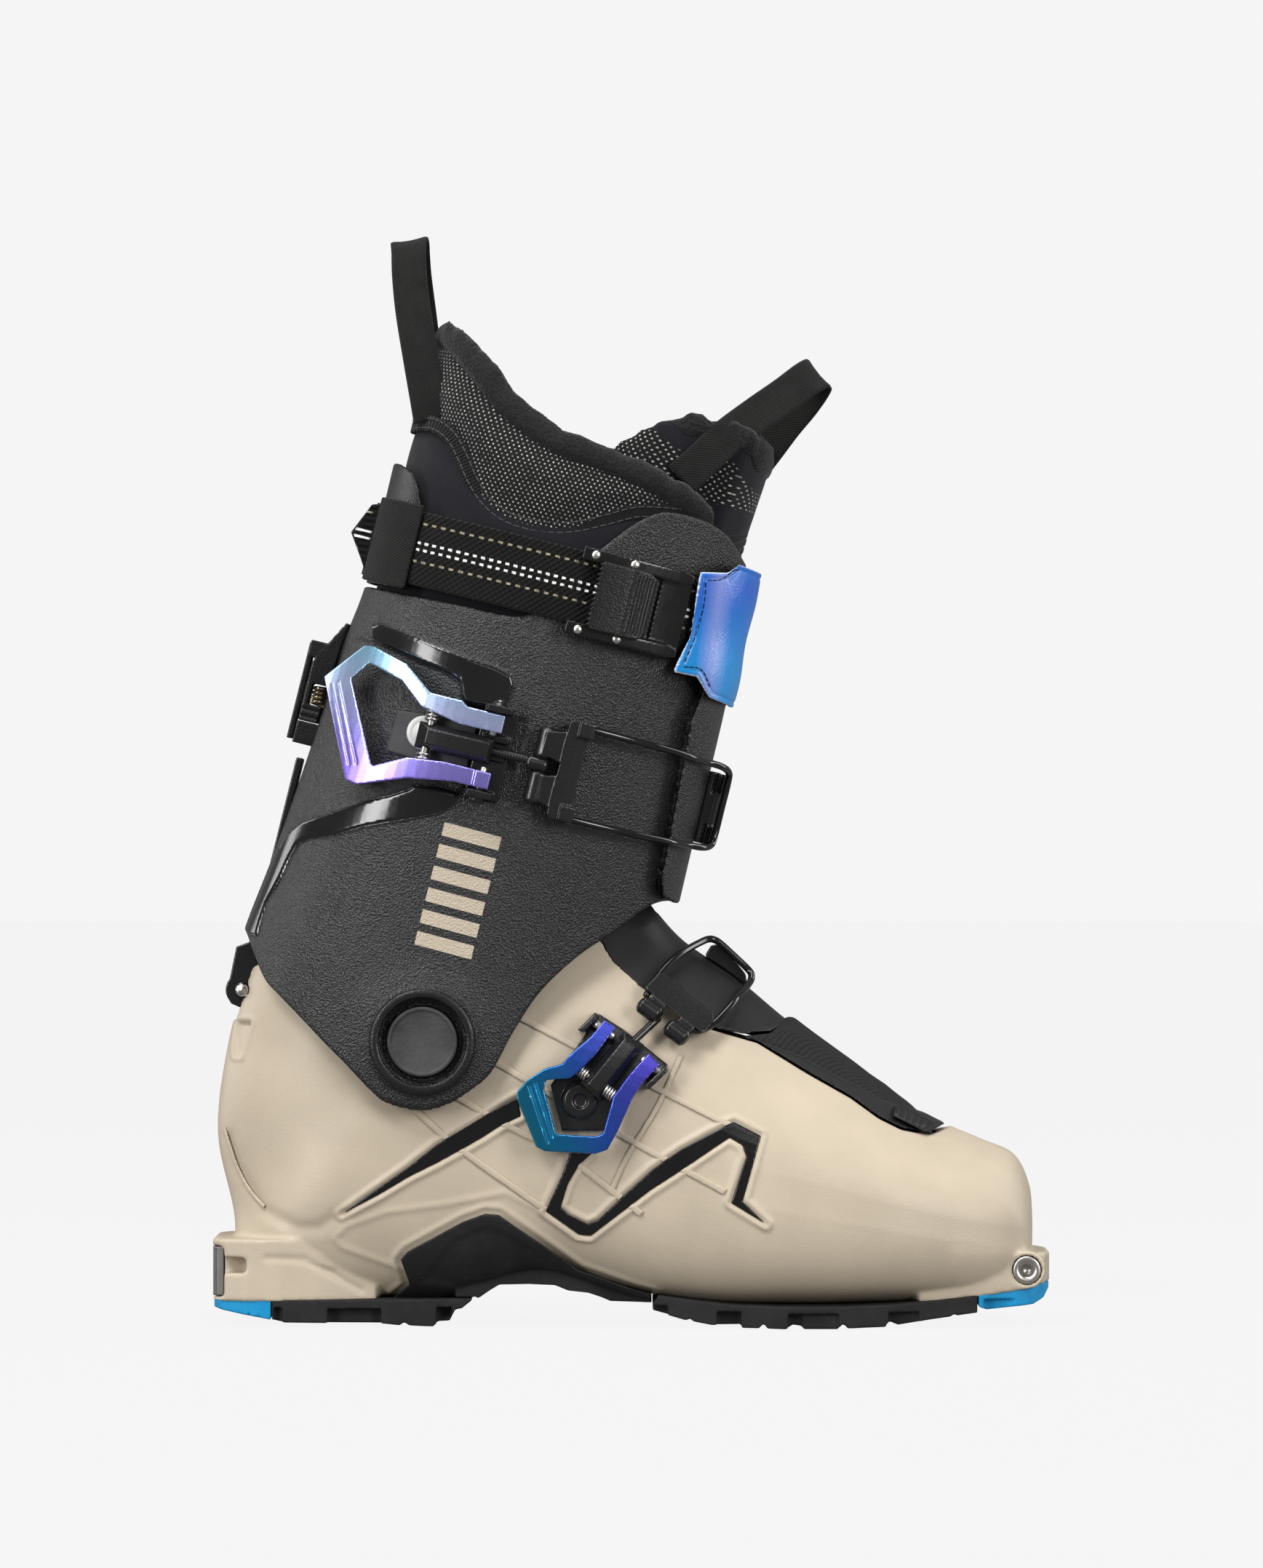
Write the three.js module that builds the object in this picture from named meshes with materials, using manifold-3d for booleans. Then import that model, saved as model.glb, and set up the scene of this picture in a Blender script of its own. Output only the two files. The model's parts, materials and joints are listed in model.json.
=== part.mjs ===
// A ski-touring boot for the right foot: hinged cuff over a lower shell, removable liner, two lever
// buckles, a power strap with a cam buckle, a rear ski-walk lock and metal fittings for pin bindings.
// Millimetres, +X to the toe, +Y to the inner side of the foot, +Z up. Parts are laid out from the back
// of the heel (x = 0) on the ground (z = 0), and the whole boot is then shifted to the middle of its sole.
import * as THREE from 'three';
import { mergeVertices } from 'three/addons/utils/BufferGeometryUtils.js';
import Module from 'manifold-3d';

const wasm = await Module();
wasm.setup();

// ---------- driving dimensions ----------
const SOLE_LENGTH = 297;
const SIDE_SHIFT = 3.5; // moves the boot sideways so that its bounding box is centred
const LEAN = THREE.MathUtils.degToRad(14); // forward lean of the leg
const PIVOT = { x: 75, z: 101.5 }; // ankle hinge of the cuff
const SHELL_WALL = 4.5;
const CUFF_WALL = 3.4;
const FLAP_WALL = 3;
const LINER_WALL = 5;
const GAP = 0.35; // air between neighbouring pieces
const FINENESS = 0.05; // facets flatter than this are merged

// ---------- materials ----------
function paint(color, roughness, metalness = 0) {
  return new THREE.MeshStandardMaterial({ color, roughness, metalness });
}
const SAND_PLASTIC = paint(0xc9b79f, 0.5);
const BLACK_PLASTIC = paint(0x262423, 0.5);
const GREY_PLASTIC = paint(0x3a393a, 0.55);
const BLACK_RUBBER = paint(0x222223, 0.85);
const BLUE_RUBBER = paint(0x0f86b8, 0.6);
const BLACK_FABRIC = paint(0x1c1b1d, 0.95);
const WEBBING = paint(0x242220, 0.9);
const BLUE_LEATHER = paint(0x2468c8, 0.45);
const STEEL = paint(0xa9a49b, 0.3, 1);
const BRASS = paint(0xc2a768, 0.35, 1);
const BLACK_METAL = paint(0x151415, 0.35, 0.6);
const BLUE_ALUMINIUM = paint(0x5aa3dd, 0.35, 0.8);
const FOAM = paint(0x4b4b4e, 0.95);

// ---------- solids ----------
function solidOf(geometry) {
  const bare = geometry.clone();
  bare.deleteAttribute('normal');
  bare.deleteAttribute('uv');
  const merged = mergeVertices(bare, 1e-4);
  return new wasm.Manifold(new wasm.Mesh({
    numProp: 3,
    vertProperties: new Float32Array(merged.attributes.position.array),
    triVerts: new Uint32Array(merged.index.array),
  }));
}

function geometryOf(solid) {
  const mesh = solid.getMesh();
  const position = new Float32Array(mesh.numVert * 3);
  for (let i = 0; i < mesh.numVert; i++) {
    position.set(mesh.vertProperties.subarray(i * mesh.numProp, i * mesh.numProp + 3), i * 3);
  }
  const geometry = new THREE.BufferGeometry();
  geometry.setAttribute('position', new THREE.BufferAttribute(position, 3));
  geometry.setIndex(new THREE.BufferAttribute(new Uint32Array(mesh.triVerts), 1));
  geometry.computeVertexNormals();
  return geometry;
}

// A solid through closed rings of points that all have the same count.
function loft(rings) {
  const count = rings[0].length;
  const position = rings.flat().flatMap((p) => [p.x, p.y, p.z]);
  const index = [];
  for (let r = 0; r + 1 < rings.length; r++) {
    for (let i = 0; i < count; i++) {
      const a = r * count + i;
      const b = r * count + ((i + 1) % count);
      index.push(a, b, a + count, b, b + count, a + count);
    }
  }
  for (const [r, flip] of [[0, true], [rings.length - 1, false]]) {
    const middle = rings[r].reduce((m, p) => m.add(p), new THREE.Vector3()).divideScalar(count);
    const centre = position.length / 3;
    position.push(middle.x, middle.y, middle.z);
    for (let i = 0; i < count; i++) {
      const a = r * count + i;
      const b = r * count + ((i + 1) % count);
      index.push(...(flip ? [b, a, centre] : [a, b, centre]));
    }
  }
  const geometry = new THREE.BufferGeometry();
  geometry.setAttribute('position', new THREE.BufferAttribute(new Float32Array(position), 3));
  geometry.setIndex(index);
  const solid = solidOf(geometry);
  if (solid.volume() > 0) return solid;
  for (let i = 0; i < index.length; i += 3) [index[i], index[i + 1]] = [index[i + 1], index[i]];
  geometry.setIndex(index);
  return solidOf(geometry);
}

function polygon(points) {
  return new THREE.Shape(points.map(([a, b]) => new THREE.Vector2(a, b)));
}

// A side-view outline of [x, z] points (or a Shape), running from y0 to y1.
function sidePrism(outline, y0, y1) {
  const shape = Array.isArray(outline) ? polygon(outline) : outline;
  const geometry = new THREE.ExtrudeGeometry(shape, { depth: y1 - y0, bevelEnabled: false, curveSegments: 8 });
  geometry.rotateX(Math.PI / 2);
  geometry.translate(0, y1, 0);
  return solidOf(geometry);
}

// A plan-view outline of [x, y] points, running from z0 to z1.
function planPrism(points, z0, z1) {
  const geometry = new THREE.ExtrudeGeometry(polygon(points), { depth: z1 - z0, bevelEnabled: false });
  geometry.translate(0, 0, z0);
  return solidOf(geometry);
}

function box(x0, x1, y0, y1, z0, z1) {
  const geometry = new THREE.BoxGeometry(x1 - x0, y1 - y0, z1 - z0);
  geometry.translate((x0 + x1) / 2, (y0 + y1) / 2, (z0 + z1) / 2);
  return solidOf(geometry);
}

// A rod of radius r from y0 to y1 along Y, or from z0 to z1 along Z.
function rodY(x, z, r, y0, y1, sides = 20) {
  const geometry = new THREE.CylinderGeometry(r, r, y1 - y0, sides);
  geometry.translate(x, (y0 + y1) / 2, z);
  return solidOf(geometry);
}
function rodZ(x, y, r, z0, z1, sides = 16) {
  const geometry = new THREE.CylinderGeometry(r, r, z1 - z0, sides);
  geometry.rotateX(Math.PI / 2);
  geometry.translate(x, y, (z0 + z1) / 2);
  return solidOf(geometry);
}
function rodX(y, z, r, x0, x1, sides = 12) {
  const geometry = new THREE.CylinderGeometry(r, r, x1 - x0, sides);
  geometry.rotateZ(Math.PI / 2);
  geometry.translate((x0 + x1) / 2, y, z);
  return solidOf(geometry);
}

function join(...solids) {
  return solids.reduce((a, b) => a.add(b));
}

// A solid of revolution about the Y axis through (x, z), from [radius, y] points.
function turnedY(x, z, profile, sides = 24) {
  const geometry = new THREE.LatheGeometry(profile.map(([r, y]) => new THREE.Vector2(r, y)), sides);
  geometry.translate(x, 0, z);
  const solid = solidOf(geometry);
  if (solid.volume() > 0) return solid;
  const turned = new THREE.LatheGeometry(profile.map(([r, y]) => new THREE.Vector2(r, y)).reverse(), sides);
  turned.translate(x, 0, z);
  return solidOf(turned);
}

function placed(solid, matrix) {
  const geometry = geometryOf(solid).applyMatrix4(matrix);
  return solidOf(geometry);
}

// ---------- curves shared by several pieces ----------
// Value at x of a smooth curve through [x, value] points.
function curveAt(points, x) {
  const last = points.length - 1;
  if (x <= points[0][0]) return points[0][1];
  if (x >= points[last][0]) return points[last][1];
  let i = 0;
  while (points[i + 1][0] < x) i++;
  const slope = (k) => {
    const a = points[Math.max(k - 1, 0)];
    const b = points[Math.min(k + 1, last)];
    return (b[1] - a[1]) / (b[0] - a[0]);
  };
  const h = points[i + 1][0] - points[i][0];
  const t = (x - points[i][0]) / h;
  const m0 = slope(i) * h;
  const m1 = slope(i + 1) * h;
  const t2 = t * t;
  const t3 = t2 * t;
  return points[i][1] * (2 * t3 - 3 * t2 + 1) + m0 * (t3 - 2 * t2 + t)
    + points[i + 1][1] * (3 * t2 - 2 * t3) + m1 * (t3 - t2);
}

// Foot form. Each station is a slanting slice from a point on the sole or heel line to a point on the
// instep line: [sole x, sole z, instep x, instep z, half width low, middle, high].
const STATIONS = [
  [291.4, 30, 291.4, 38, 1, 1, 1],
  [290.4, 18, 290.6, 49, 17, 21, 12],
  [286, 11, 285, 60, 27, 32, 20],
  [276, 9, 273, 65.5, 33, 40, 26],
  [258, 8.5, 257, 72.5, 39, 47, 31],
  [234, 8, 237, 84, 45, 51.5, 35],
  [206, 7.5, 219, 96.5, 47.5, 53, 36],
  [176, 8, 203, 108.5, 45, 51.5, 36],
  [146, 12.5, 185, 123.5, 41, 48, 35],
  [116, 19.5, 167, 136, 37, 45, 34],
  [86, 11, 156, 148, 34, 43, 34],
  [56, 9, 148, 157, 33.5, 42, 33],
  [28, 9, 141, 164, 33.5, 41.5, 32],
  [8, 12, 135, 168, 31, 41, 31],
  [6.8, 38, 130, 170, 29, 40.5, 30],
  [0.8, 68, 126, 172, 27, 40, 29],
  [4.6, 100, 122, 174, 25, 39.5, 28],
  [12, 126, 118, 176, 25, 39, 28],
];
const TOE_INWARD = 2.5; // the toe points this far towards the inner side
const CORNER_LOW = [[0, 3], [0.12, 4.5], [0.6, 4], [0.78, 2.9], [1, 2.3]]; // squareness of the low end
const CORNER_HIGH = 2.3;

function stationAt(s) {
  const place = s * (STATIONS.length - 1);
  return STATIONS[0].map((_, k) => curveAt(STATIONS.map((row, i) => [i, row[k]]), place));
}

// The ring of the foot form at station s, grown outwards by `grow`.
function footRing(s, grow, count) {
  const [bx, bz, fx, fz, low, middle, high] = stationAt(s);
  const along = new THREE.Vector2(fx - bx, fz - bz);
  const half = along.length() / 2 + grow;
  along.normalize();
  const cx = (bx + fx) / 2;
  const cz = (bz + fz) / 2;
  const shift = TOE_INWARD * Math.max(0, 1 - s * 2.2);
  const nLow = curveAt(CORNER_LOW, s);
  const ring = [];
  for (let i = 0; i < count; i++) {
    const turn = (i / count) * 2 * Math.PI;
    const n = Math.cos(turn) < 0 ? nLow : CORNER_HIGH;
    const a = Math.sign(Math.cos(turn)) * Math.abs(Math.cos(turn)) ** (2 / n);
    const cap = Math.sign(Math.sin(turn)) * Math.abs(Math.sin(turn)) ** (2 / n);
    const width = middle + a * (high - low) / 2 + a * a * ((high + low) / 2 - middle);
    ring.push(new THREE.Vector3(cx + along.x * a * half, shift - cap * (width + grow), cz + along.y * a * half));
  }
  return ring;
}

const footSkins = new Map();
function footSkin(grow, stations = 27, count = 22) {
  const key = `${grow},${stations},${count}`;
  if (!footSkins.has(key)) {
    const rings = [];
    for (let i = 0; i <= stations; i++) {
      const ring = footRing(i / stations, grow, count);
      const front = SOLE_LENGTH - 5.6 + grow; // the growth also moves the toe end
      ring.forEach((p) => { p.x = Math.min(p.x, front); });
      rings.push(ring);
    }
    footSkins.set(key, loft(rings));
  }
  return footSkins.get(key);
}

// Leg form in the leg's own frame: u forwards, w up the leg, both from the ankle hinge.
const LEG_BACK = [[-40, -74], [0, -73.5], [22, -72.6], [50, -69], [75, -66.5], [100, -64.5], [130, -62.5],
  [151, -60], [181, -60.5], [250, -61]];
const LEG_FRONT = [[-40, 74], [60, 73], [95, 72.5], [140, 72], [191, 70.5], [235, 74]];
const LEG_HALF_WIDTH = [[-40, 48], [0, 49.5], [60, 51], [105, 53], [150, 54.5], [260, 55]];
const LEG_MIDDLE = 3;
const LEG_ROUND = 2.3;

function legRing(w, grow, count) {
  const back = LEG_MIDDLE - curveAt(LEG_BACK, w) + grow;
  const front = curveAt(LEG_FRONT, w) - LEG_MIDDLE + grow;
  const half = curveAt(LEG_HALF_WIDTH, w) + grow;
  const ring = [];
  for (let i = 0; i < count; i++) {
    const turn = (i / count) * 2 * Math.PI;
    const c = Math.cos(turn);
    const u = LEG_MIDDLE + Math.sign(c) * Math.abs(c) ** (2 / LEG_ROUND) * (c > 0 ? front : back);
    const y = -Math.sign(Math.sin(turn)) * Math.abs(Math.sin(turn)) ** (2 / LEG_ROUND) * half;
    ring.push(new THREE.Vector3(u, y, w));
  }
  return ring;
}

function legSkin(grow, low, high, steps = 6, count = 30) {
  const rings = [];
  for (let i = 0; i <= steps; i++) rings.push(legRing(low + ((high - low) * i) / steps, grow, count));
  return loft(rings);
}

// Distance of the leg form's outer side from the middle plane at (u, w).
function legSide(u, w) {
  const reach = u > LEG_MIDDLE ? curveAt(LEG_FRONT, w) - LEG_MIDDLE : LEG_MIDDLE - curveAt(LEG_BACK, w);
  const share = Math.min(1, Math.abs(u - LEG_MIDDLE) / reach);
  return curveAt(LEG_HALF_WIDTH, w) * (1 - share ** LEG_ROUND) ** (1 / LEG_ROUND);
}

// ---------- scene graph ----------
const boot = new THREE.Group();
boot.position.set(-SOLE_LENGTH / 2, SIDE_SHIFT, 0);
const leg = new THREE.Group(); // everything above the ankle hinge
leg.position.set(PIVOT.x, 0, PIVOT.z);
leg.rotation.y = LEAN;
boot.add(leg);

function part(name, solid, material, parent = boot) {
  const mesh = new THREE.Mesh(geometryOf(solid.simplify(FINENESS)), material);
  mesh.name = name;
  parent.add(mesh);
  return mesh;
}


// ---------- lower shell ----------
// Anything turning with the cuff stays outside this body of revolution about the ankle hinge, and the
// collar of the shell stays inside it.
function drum(grow) {
  const half = [[71.2, 10], [66, 22], [58, 30], [45, 36.5], [30, 42], [0, 43.5]];
  const side = half.map(([r, y]) => [r ? r + grow : 0, -y - grow]).reverse();
  return turnedY(PIVOT.x, PIVOT.z, [...side, ...side.map(([r, y]) => [r, -y]).reverse()], 28);
}
const CUFF_SWEEP = [[-10, 98], [16, 98], [30, 90], [44, 79], [55, 73], [70, 70], [88, 72.5], [102, 83],
  [113, 98], [123, 109], [134, 120], [141, 130], [150, 140], [220, 200], [-10, 200]];
const THROAT_RIM = [[137, 137.5], [142, 129.6], [151.6, 120.8], [164, 111.5], [177, 105], [193, 100.3],
  [210.5, 89.5], [226, 80.7], [236, 73.5], [244, 69.5], [254, 67.4]];
const COLLAR_RIM = [[12, 131], [30, 142], [62, 146.6], [100, 146.2], [125, 143]];
const OPENING = [...COLLAR_RIM, ...THROAT_RIM, [262, 69.5], [268, 90], [250, 220], [0, 220], [0, 131]];

const SHELL_BASE = [[-5, 9], [60, 9], [146, 9], [168, 10], [184, 8.2], [224, 7.7], [256, 9.3], [272, 11.1],
  [288, 13.4], [300, 16.5]];
const HEEL_LEDGE = [[0, -21], [3, -28], [12, -32.5], [30, -33.5], [30, 33.5], [12, 32.5], [3, 28], [0, 21]];
const TOE_LEDGE = [[250, -36], [276, -34.5], [289, -31], [295, -24], [297, -15], [297, 15], [295, 24],
  [289, 31], [276, 34.5], [250, 36]];
const TOE_FITTING = { x: 288.3, z: 20.2, r: 5 };
const LINK = { x: 9.8, z: 118.6, r: 6, half: 6.6 }; // lower pin of the walk bar
const PIVOT_HOLE = 6.3;

const innerFoot = footSkin(-SHELL_WALL, 18, 18);
function shellBody() {
  const ledges = join(
    planPrism(HEEL_LEDGE, 0, 31),
    planPrism(TOE_LEDGE, 0, 26),
  );
  let body = join(footSkin(0), ledges);
  body = body.subtract(sidePrism(CUFF_SWEEP, -80, 80).subtract(drum(0)));
  body = body.subtract(innerFoot).subtract(sidePrism(OPENING, -80, 80));
  body = body.intersect(sidePrism([...SHELL_BASE, [300, 300], [-5, 300]], -80, 80));
  body = body.subtract(rodY(TOE_FITTING.x, TOE_FITTING.z, TOE_FITTING.r + GAP, -60, 60));
  body = body.subtract(box(-2, 18, -LINK.half - 0.6, LINK.half + 0.6, 108, 150));
  body = body.subtract(rodY(LINK.x, LINK.z, 2.7, -20, 20, 14));
  body = body.subtract(rodY(PIVOT.x, PIVOT.z, PIVOT_HOLE, -60, 60));
  body = body.subtract(box(-2, 4.35, -12.35, 12.35, 10.2, 28.4));
  body = body.subtract(box(3.9, 8.5, -3.4, 3.4, 12.4, 26.6));
  for (const side of [-1, 1]) body = body.subtract(box(7, 14, side * 34 - 4, side * 34 + 4, 19, 24.5));
  return largest(body);
}
function largest(solid) {
  return solid.decompose().reduce((a, b) => (a.volume() > b.volume() ? a : b));
}
const shell = shellBody();
part('lower_shell', shell, SAND_PLASTIC);

// ---------- soles ----------
const SOLE_SIDE = [[0, 20], [3, 27], [12, 31.5], [40, 34], [70, 33], [110, 30], [150, 34], [180, 42], [210, 46.5],
  [240, 44], [262, 37], [276, 34], [289, 30.5], [295, 23.5], [297, 14]];
const soleBlock = planPrism([
  ...SOLE_SIDE.map(([x, y]) => [x, -y]),
  ...[...SOLE_SIDE].reverse().map(([x, y]) => [x, y]),
], -2, 42);
function solePiece(outline, grooves) {
  let solid = sidePrism(outline, -60, 60).intersect(soleBlock);
  for (const [x0, x1, depth] of grooves) solid = solid.subtract(box(x0, x1, -60, 60, -5, depth));
  return largest(solid.subtract(footSkin(GAP, 20, 20)).subtract(shell));
}
part('heel_outsole', solePiece(
  [[21.4, 8.6], [21.4, 2.2], [24, 1.5], [84, 1.5], [88, 4], [97.5, 8], [97.5, 8.6]],
  [[31, 35, 5.2], [44, 48, 5.2], [57, 61, 5.2], [70, 74, 5.2]],
), BLACK_RUBBER);
part('heel_sole_tip', solePiece([[0.5, 8.6], [0.5, 6.6], [4, 4], [9, 2.8], [21, 2.2], [21, 8.6]], []), BLUE_RUBBER);
part('arch_rubber', archPiece(), BLACK_RUBBER);
part('forefoot_outsole', solePiece(
  [[156, 8], [162, 4], [170, 2], [185, 1.8], [199, 0], [221, 0], [238, 1.8], [249, 2.2], [264, 4], [270.7, 6],
    [270.7, 10.6], [256, 8.9], [240, 7.8], [224, 7.3], [200, 7.3], [184, 7.8], [168, 9.6], [158, 10.6]],
  [[174, 177.5, 4.6], [188, 191.5, 4.2], [202, 205.5, 4], [216, 219.5, 4], [230, 233.5, 4.2], [244, 247.5, 5],
    [257, 260, 6]],
), BLACK_RUBBER);
part('toe_sole_tip', solePiece(
  [[271.1, 6], [290.8, 8], [294.4, 10], [296.6, 13], [296.8, 15], [288, 13], [280, 11.7], [271.1, 10.6]], [],
), BLUE_RUBBER);

// The black arch section under and beside the waist of the sole.
function archPiece() {
  const outline = [[63.5, 9.4], [70, 15], [67, 24], [69.4, 26.8], [89, 37.6], [97, 40.5], [101.7, 40.1],
    [106.6, 36.6], [116.4, 29.8], [130, 20], [149.7, 13.1], [155.6, 11.4], [155.6, 8.3], [99, 8.3], [98, 9.4]];
  const wrap = footSkin(2.8, 20, 20).subtract(footSkin(GAP + 0.15));
  return largest(sidePrism(outline, -60, 60).intersect(wrap).subtract(shell));
}

// ---------- fittings for pin bindings ----------
function toeFitting() {
  const { x, z, r } = TOE_FITTING;
  const half = 32.5;
  const end = [[0, half - 3], [2.4, half - 0.6], [2.4, half], [r, half]];
  return turnedY(x, z, [...end.map(([q, y]) => [q, -y]), ...[...end].reverse()], 20);
}
part('toe_insert', toeFitting(), STEEL);
part('heel_insert', box(0, 4, -12, 12, 10.6, 28)
  .subtract(box(-1, 2.4, 4.5, 8.5, 9, 22))
  .subtract(box(-1, 2.4, -8.5, -4.5, 9, 22))
  .subtract(rodX(0, 24, 1.9, -1, 6))
  .subtract(rodX(0, 14.6, 1.9, -1, 6)), STEEL);
part('heel_insert_screw_upper', rodX(0, 24, 1.55, 0.3, 8), BLACK_METAL);
part('heel_insert_screw_lower', rodX(0, 14.6, 1.55, 0.3, 8), BLACK_METAL);

// ---------- inside the shell ----------
const shellSpace = footSkin(-SHELL_WALL - GAP, 18, 18);
function layer(x0, x1, low, high, space) {
  const slab = sidePrism([...low, ...[...high].reverse()], -60, 60);
  return largest(slab.intersect(space).intersect(box(x0, x1, -60, 60, -10, 60)));
}
const BOARD_TOP = [[0, 29], [60, 28], [116, 28], [150, 22], [190, 17], [300, 18.5]];
const lifted = (line, rise) => line.map(([x, z]) => [x, z + rise]);
part('boot_board', layer(16, 276, [[0, 5], [300, 5]], BOARD_TOP, shellSpace), GREY_PLASTIC);
const footSpace = footSkin(-SHELL_WALL - GAP - LINER_WALL, 16, 18);
const linerSpace = footSkin(-SHELL_WALL - GAP - LINER_WALL - GAP, 16, 18);
function linerFoot() {
  let body = footSkin(-SHELL_WALL - 0.75, 18, 18);
  body = body.intersect(sidePrism([...lifted(BOARD_TOP, GAP), [300, 300], [0, 300]], -60, 60));
  const hollow = footSpace.intersect(sidePrism([...lifted(BOARD_TOP, 4), [300, 300], [0, 300]], -60, 60));
  body = body.subtract(hollow);
  body = body.subtract(sidePrism(LINER_OPENING, -60, 60));
  body = body.subtract(rodY(TOE_FITTING.x, TOE_FITTING.z, TOE_FITTING.r + 0.8, -60, 60));
  body = body.subtract(box(-5, 17.6, -8, 8, 106, 200));
  return largest(body.intersect(rodY(PIVOT.x, PIVOT.z, 70.5, -60, 60, 40).add(box(0, 300, -60, 60, 0, 96))));
}
const LINER_OPENING = [[0, 128], [30, 138], [60, 141], [110, 141], [128, 133], [150, 112], [172, 98], [178, 101],
  [200, 106], [240, 250], [0, 250]];
part('liner_foot', linerFoot(), BLACK_FABRIC);
part('insole', layer(24, 268, lifted(BOARD_TOP, 4.35), lifted(BOARD_TOP, 8), linerSpace), FOAM);

// ---------- tongue and throat ----------
const TONGUE_EDGE = [[138, 138], [143, 130.2], [152.2, 121.5], [164.6, 112.2], [177.6, 105.8], [188, 103.6],
  [198, 104.4], [203.4, 106.6]];
function throatPiece(outline, outer, inner) {
  return largest(footSkin(outer, 30, 24).subtract(footSkin(inner, 20, 20)).intersect(sidePrism(outline, -60, 60)));
}
const tongueSolid = throatPiece(
  [...TONGUE_EDGE, [215, 120], [150, 175], [128, 165], [128, 146]],
  0,
  -3.6,
).intersect(rodY(PIVOT.x, PIVOT.z, 93.5, -60, 60, 40).add(box(157.5, 230, -60, 60, 60, 146)));
part('tongue', largest(tongueSolid), BLACK_PLASTIC);
part('throat_gaiter', throatPiece(
  [[180, 104.5], [188, 102.8], [198, 103.6], [205, 106.8], [225, 106], [272, 76], [262, 71.4], [254, 68.6],
    [244.4, 70.3], [236.4, 74.2], [226.4, 81.4], [211, 90.2], [193.3, 101]],
  -0.3,
  -2.8,
), BLACK_FABRIC);

// ---------- cuff ----------
// Outlines from here on are in the leg frame, as [u, w].
const CUFF_LOW = [[-82, 22.6], [-72.6, 22.6], [-66, 15], [-59.5, 7.1], [-53.4, 3.2], [-43.7, -2.6],
  [-34, -8.7], [-24.2, -14.5], [-14.5, -20.5], [-8, -23.6], [4.2, -23.7], [11.3, -20.7], [18.2, -14.9],
  [25.8, -4.9], [30, 10.3], [36, 26.9], [46.1, 42.5], [55.7, 52.9], [69.7, 67.6], [90, 68]];
const CUFF_TOP = [[90, 180], [70.5, 191], [61, 199], [50, 202], [35, 200], [20, 184.4], [8, 165], [-1, 154],
  [-24.5, 152], [-59, 151], [-82, 151]];
const FLAP = [[66, 142.6], [64.5, 131.9], [65.3, 120.5], [67, 91.9], [67.8, 75.1], [70, 69.4], [74, 68.2],
  [90, 68.2], [90, 150], [66, 150]];
const BAR_SLOT = 8.6; // half width of the channel for the walk bar
const legInside = legSkin(-CUFF_WALL, -60, 215, 6, 28);
function band(outer, inner, outline, low, high, steps = 3, count = 30) {
  const ring = legSkin(outer, low, high, steps, count).subtract(legSkin(inner, low - 5, high + 5, steps, count));
  return ring.intersect(sidePrism(outline, -90, 90));
}
const shellDrum = placed(drum(GAP), new THREE.Matrix4().makeTranslation(-PIVOT.x, 0, -PIVOT.z));
function cuffBody() {
  let body = legSkin(0, -30, 206).subtract(legInside);
  body = body.intersect(sidePrism([...CUFF_LOW, ...CUFF_TOP], -90, 90));
  const boss = [[0, 38], [18.6, 38], [18.6, 51.2], [17, 52.6], [15.2, 52.6], [14.6, 51], [13.2, 51], [13, 52.2],
    [0, 52.2]];
  body = body.add(turnedY(0, 0, boss.map(([r, y]) => [r, -y])));
  body = body.add(turnedY(0, 0, boss));
  body = body.subtract(box(0, 90, 14, 15.5, 30, 215)); // the open edge under the flap
  const flap = band(GAP + FLAP_WALL, GAP, FLAP, 60, 155);
  const bridge = band(GAP + FLAP_WALL, -1, FLAP, 60, 155).intersect(box(0, 90, 24, 60, 60, 155));
  body = body.add(flap).add(bridge);
  body = body.subtract(box(-90, -50, -BAR_SLOT, BAR_SLOT, 0, 124));
  body = body.subtract(rodY(0, 0, 6.3, -60, 60));
  return largest(body.subtract(shellDrum));
}
const cuff = cuffBody();
part('cuff', cuff, BLACK_PLASTIC, leg);

const SPOILER = [[-82, 151.8], [-46, 152.7], [-40, 162], [-49, 189], [-57.8, 196], [-82, 196]];
part('spoiler', largest(band(-0.1, -2.9, SPOILER, 151, 198)), BLACK_PLASTIC, leg);

// ---------- ankle hinge ----------
for (const [name, side] of [['pivot_cap_outer', -1], ['pivot_cap_inner', 1]]) {
  const cap = [[0, 36], [5.9, 36], [5.9, 52.6], [12.3, 52.6], [12.3, 54.2], [10.6, 55.4], [0, 55.4]];
  part(name, turnedY(PIVOT.x, PIVOT.z, cap.map(([r, y]) => [r, side * y])), BLACK_PLASTIC);
}

// ---------- liner above the ankle ----------
const LINER_TOP = [[-82, 251], [-56.8, 251], [-46.9, 249], [-33.9, 239.4], [-20, 229.1], [-2.9, 222.4],
  [13, 220.6], [27, 218.5], [41.8, 214.6], [60, 206], [90, 200]];
function linerCuff() {
  let body = legSkin(-CUFF_WALL - 0.6, -60, 252, 8, 32).subtract(legSkin(-12, -65, 260, 8, 28));
  body = body.intersect(sidePrism([[-82, -20], [90, -20], ...[...LINER_TOP].reverse()], -90, 90));
  body = body.subtract(rodY(0, 0, 72.2, -60, 60, 40));
  body = body.subtract(rodY(0, 0, 95.5, -60, 60, 40).intersect(box(30, 100, -60, 60, -60, 120)));
  body = body.subtract(box(-90, -62.2, -BAR_SLOT, BAR_SLOT, 0, 128));
  return largest(body.subtract(box(20, 100, -31, 31, 40, 260)));
}
part('liner_cuff', linerCuff(), BLACK_FABRIC, leg);
const LINER_TONGUE = [[20, 98], [90, 98], [90, 228], [70.3, 231], [69.6, 234], [63.6, 237], [50.3, 240.6],
  [39.6, 238], [21, 230]];
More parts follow.
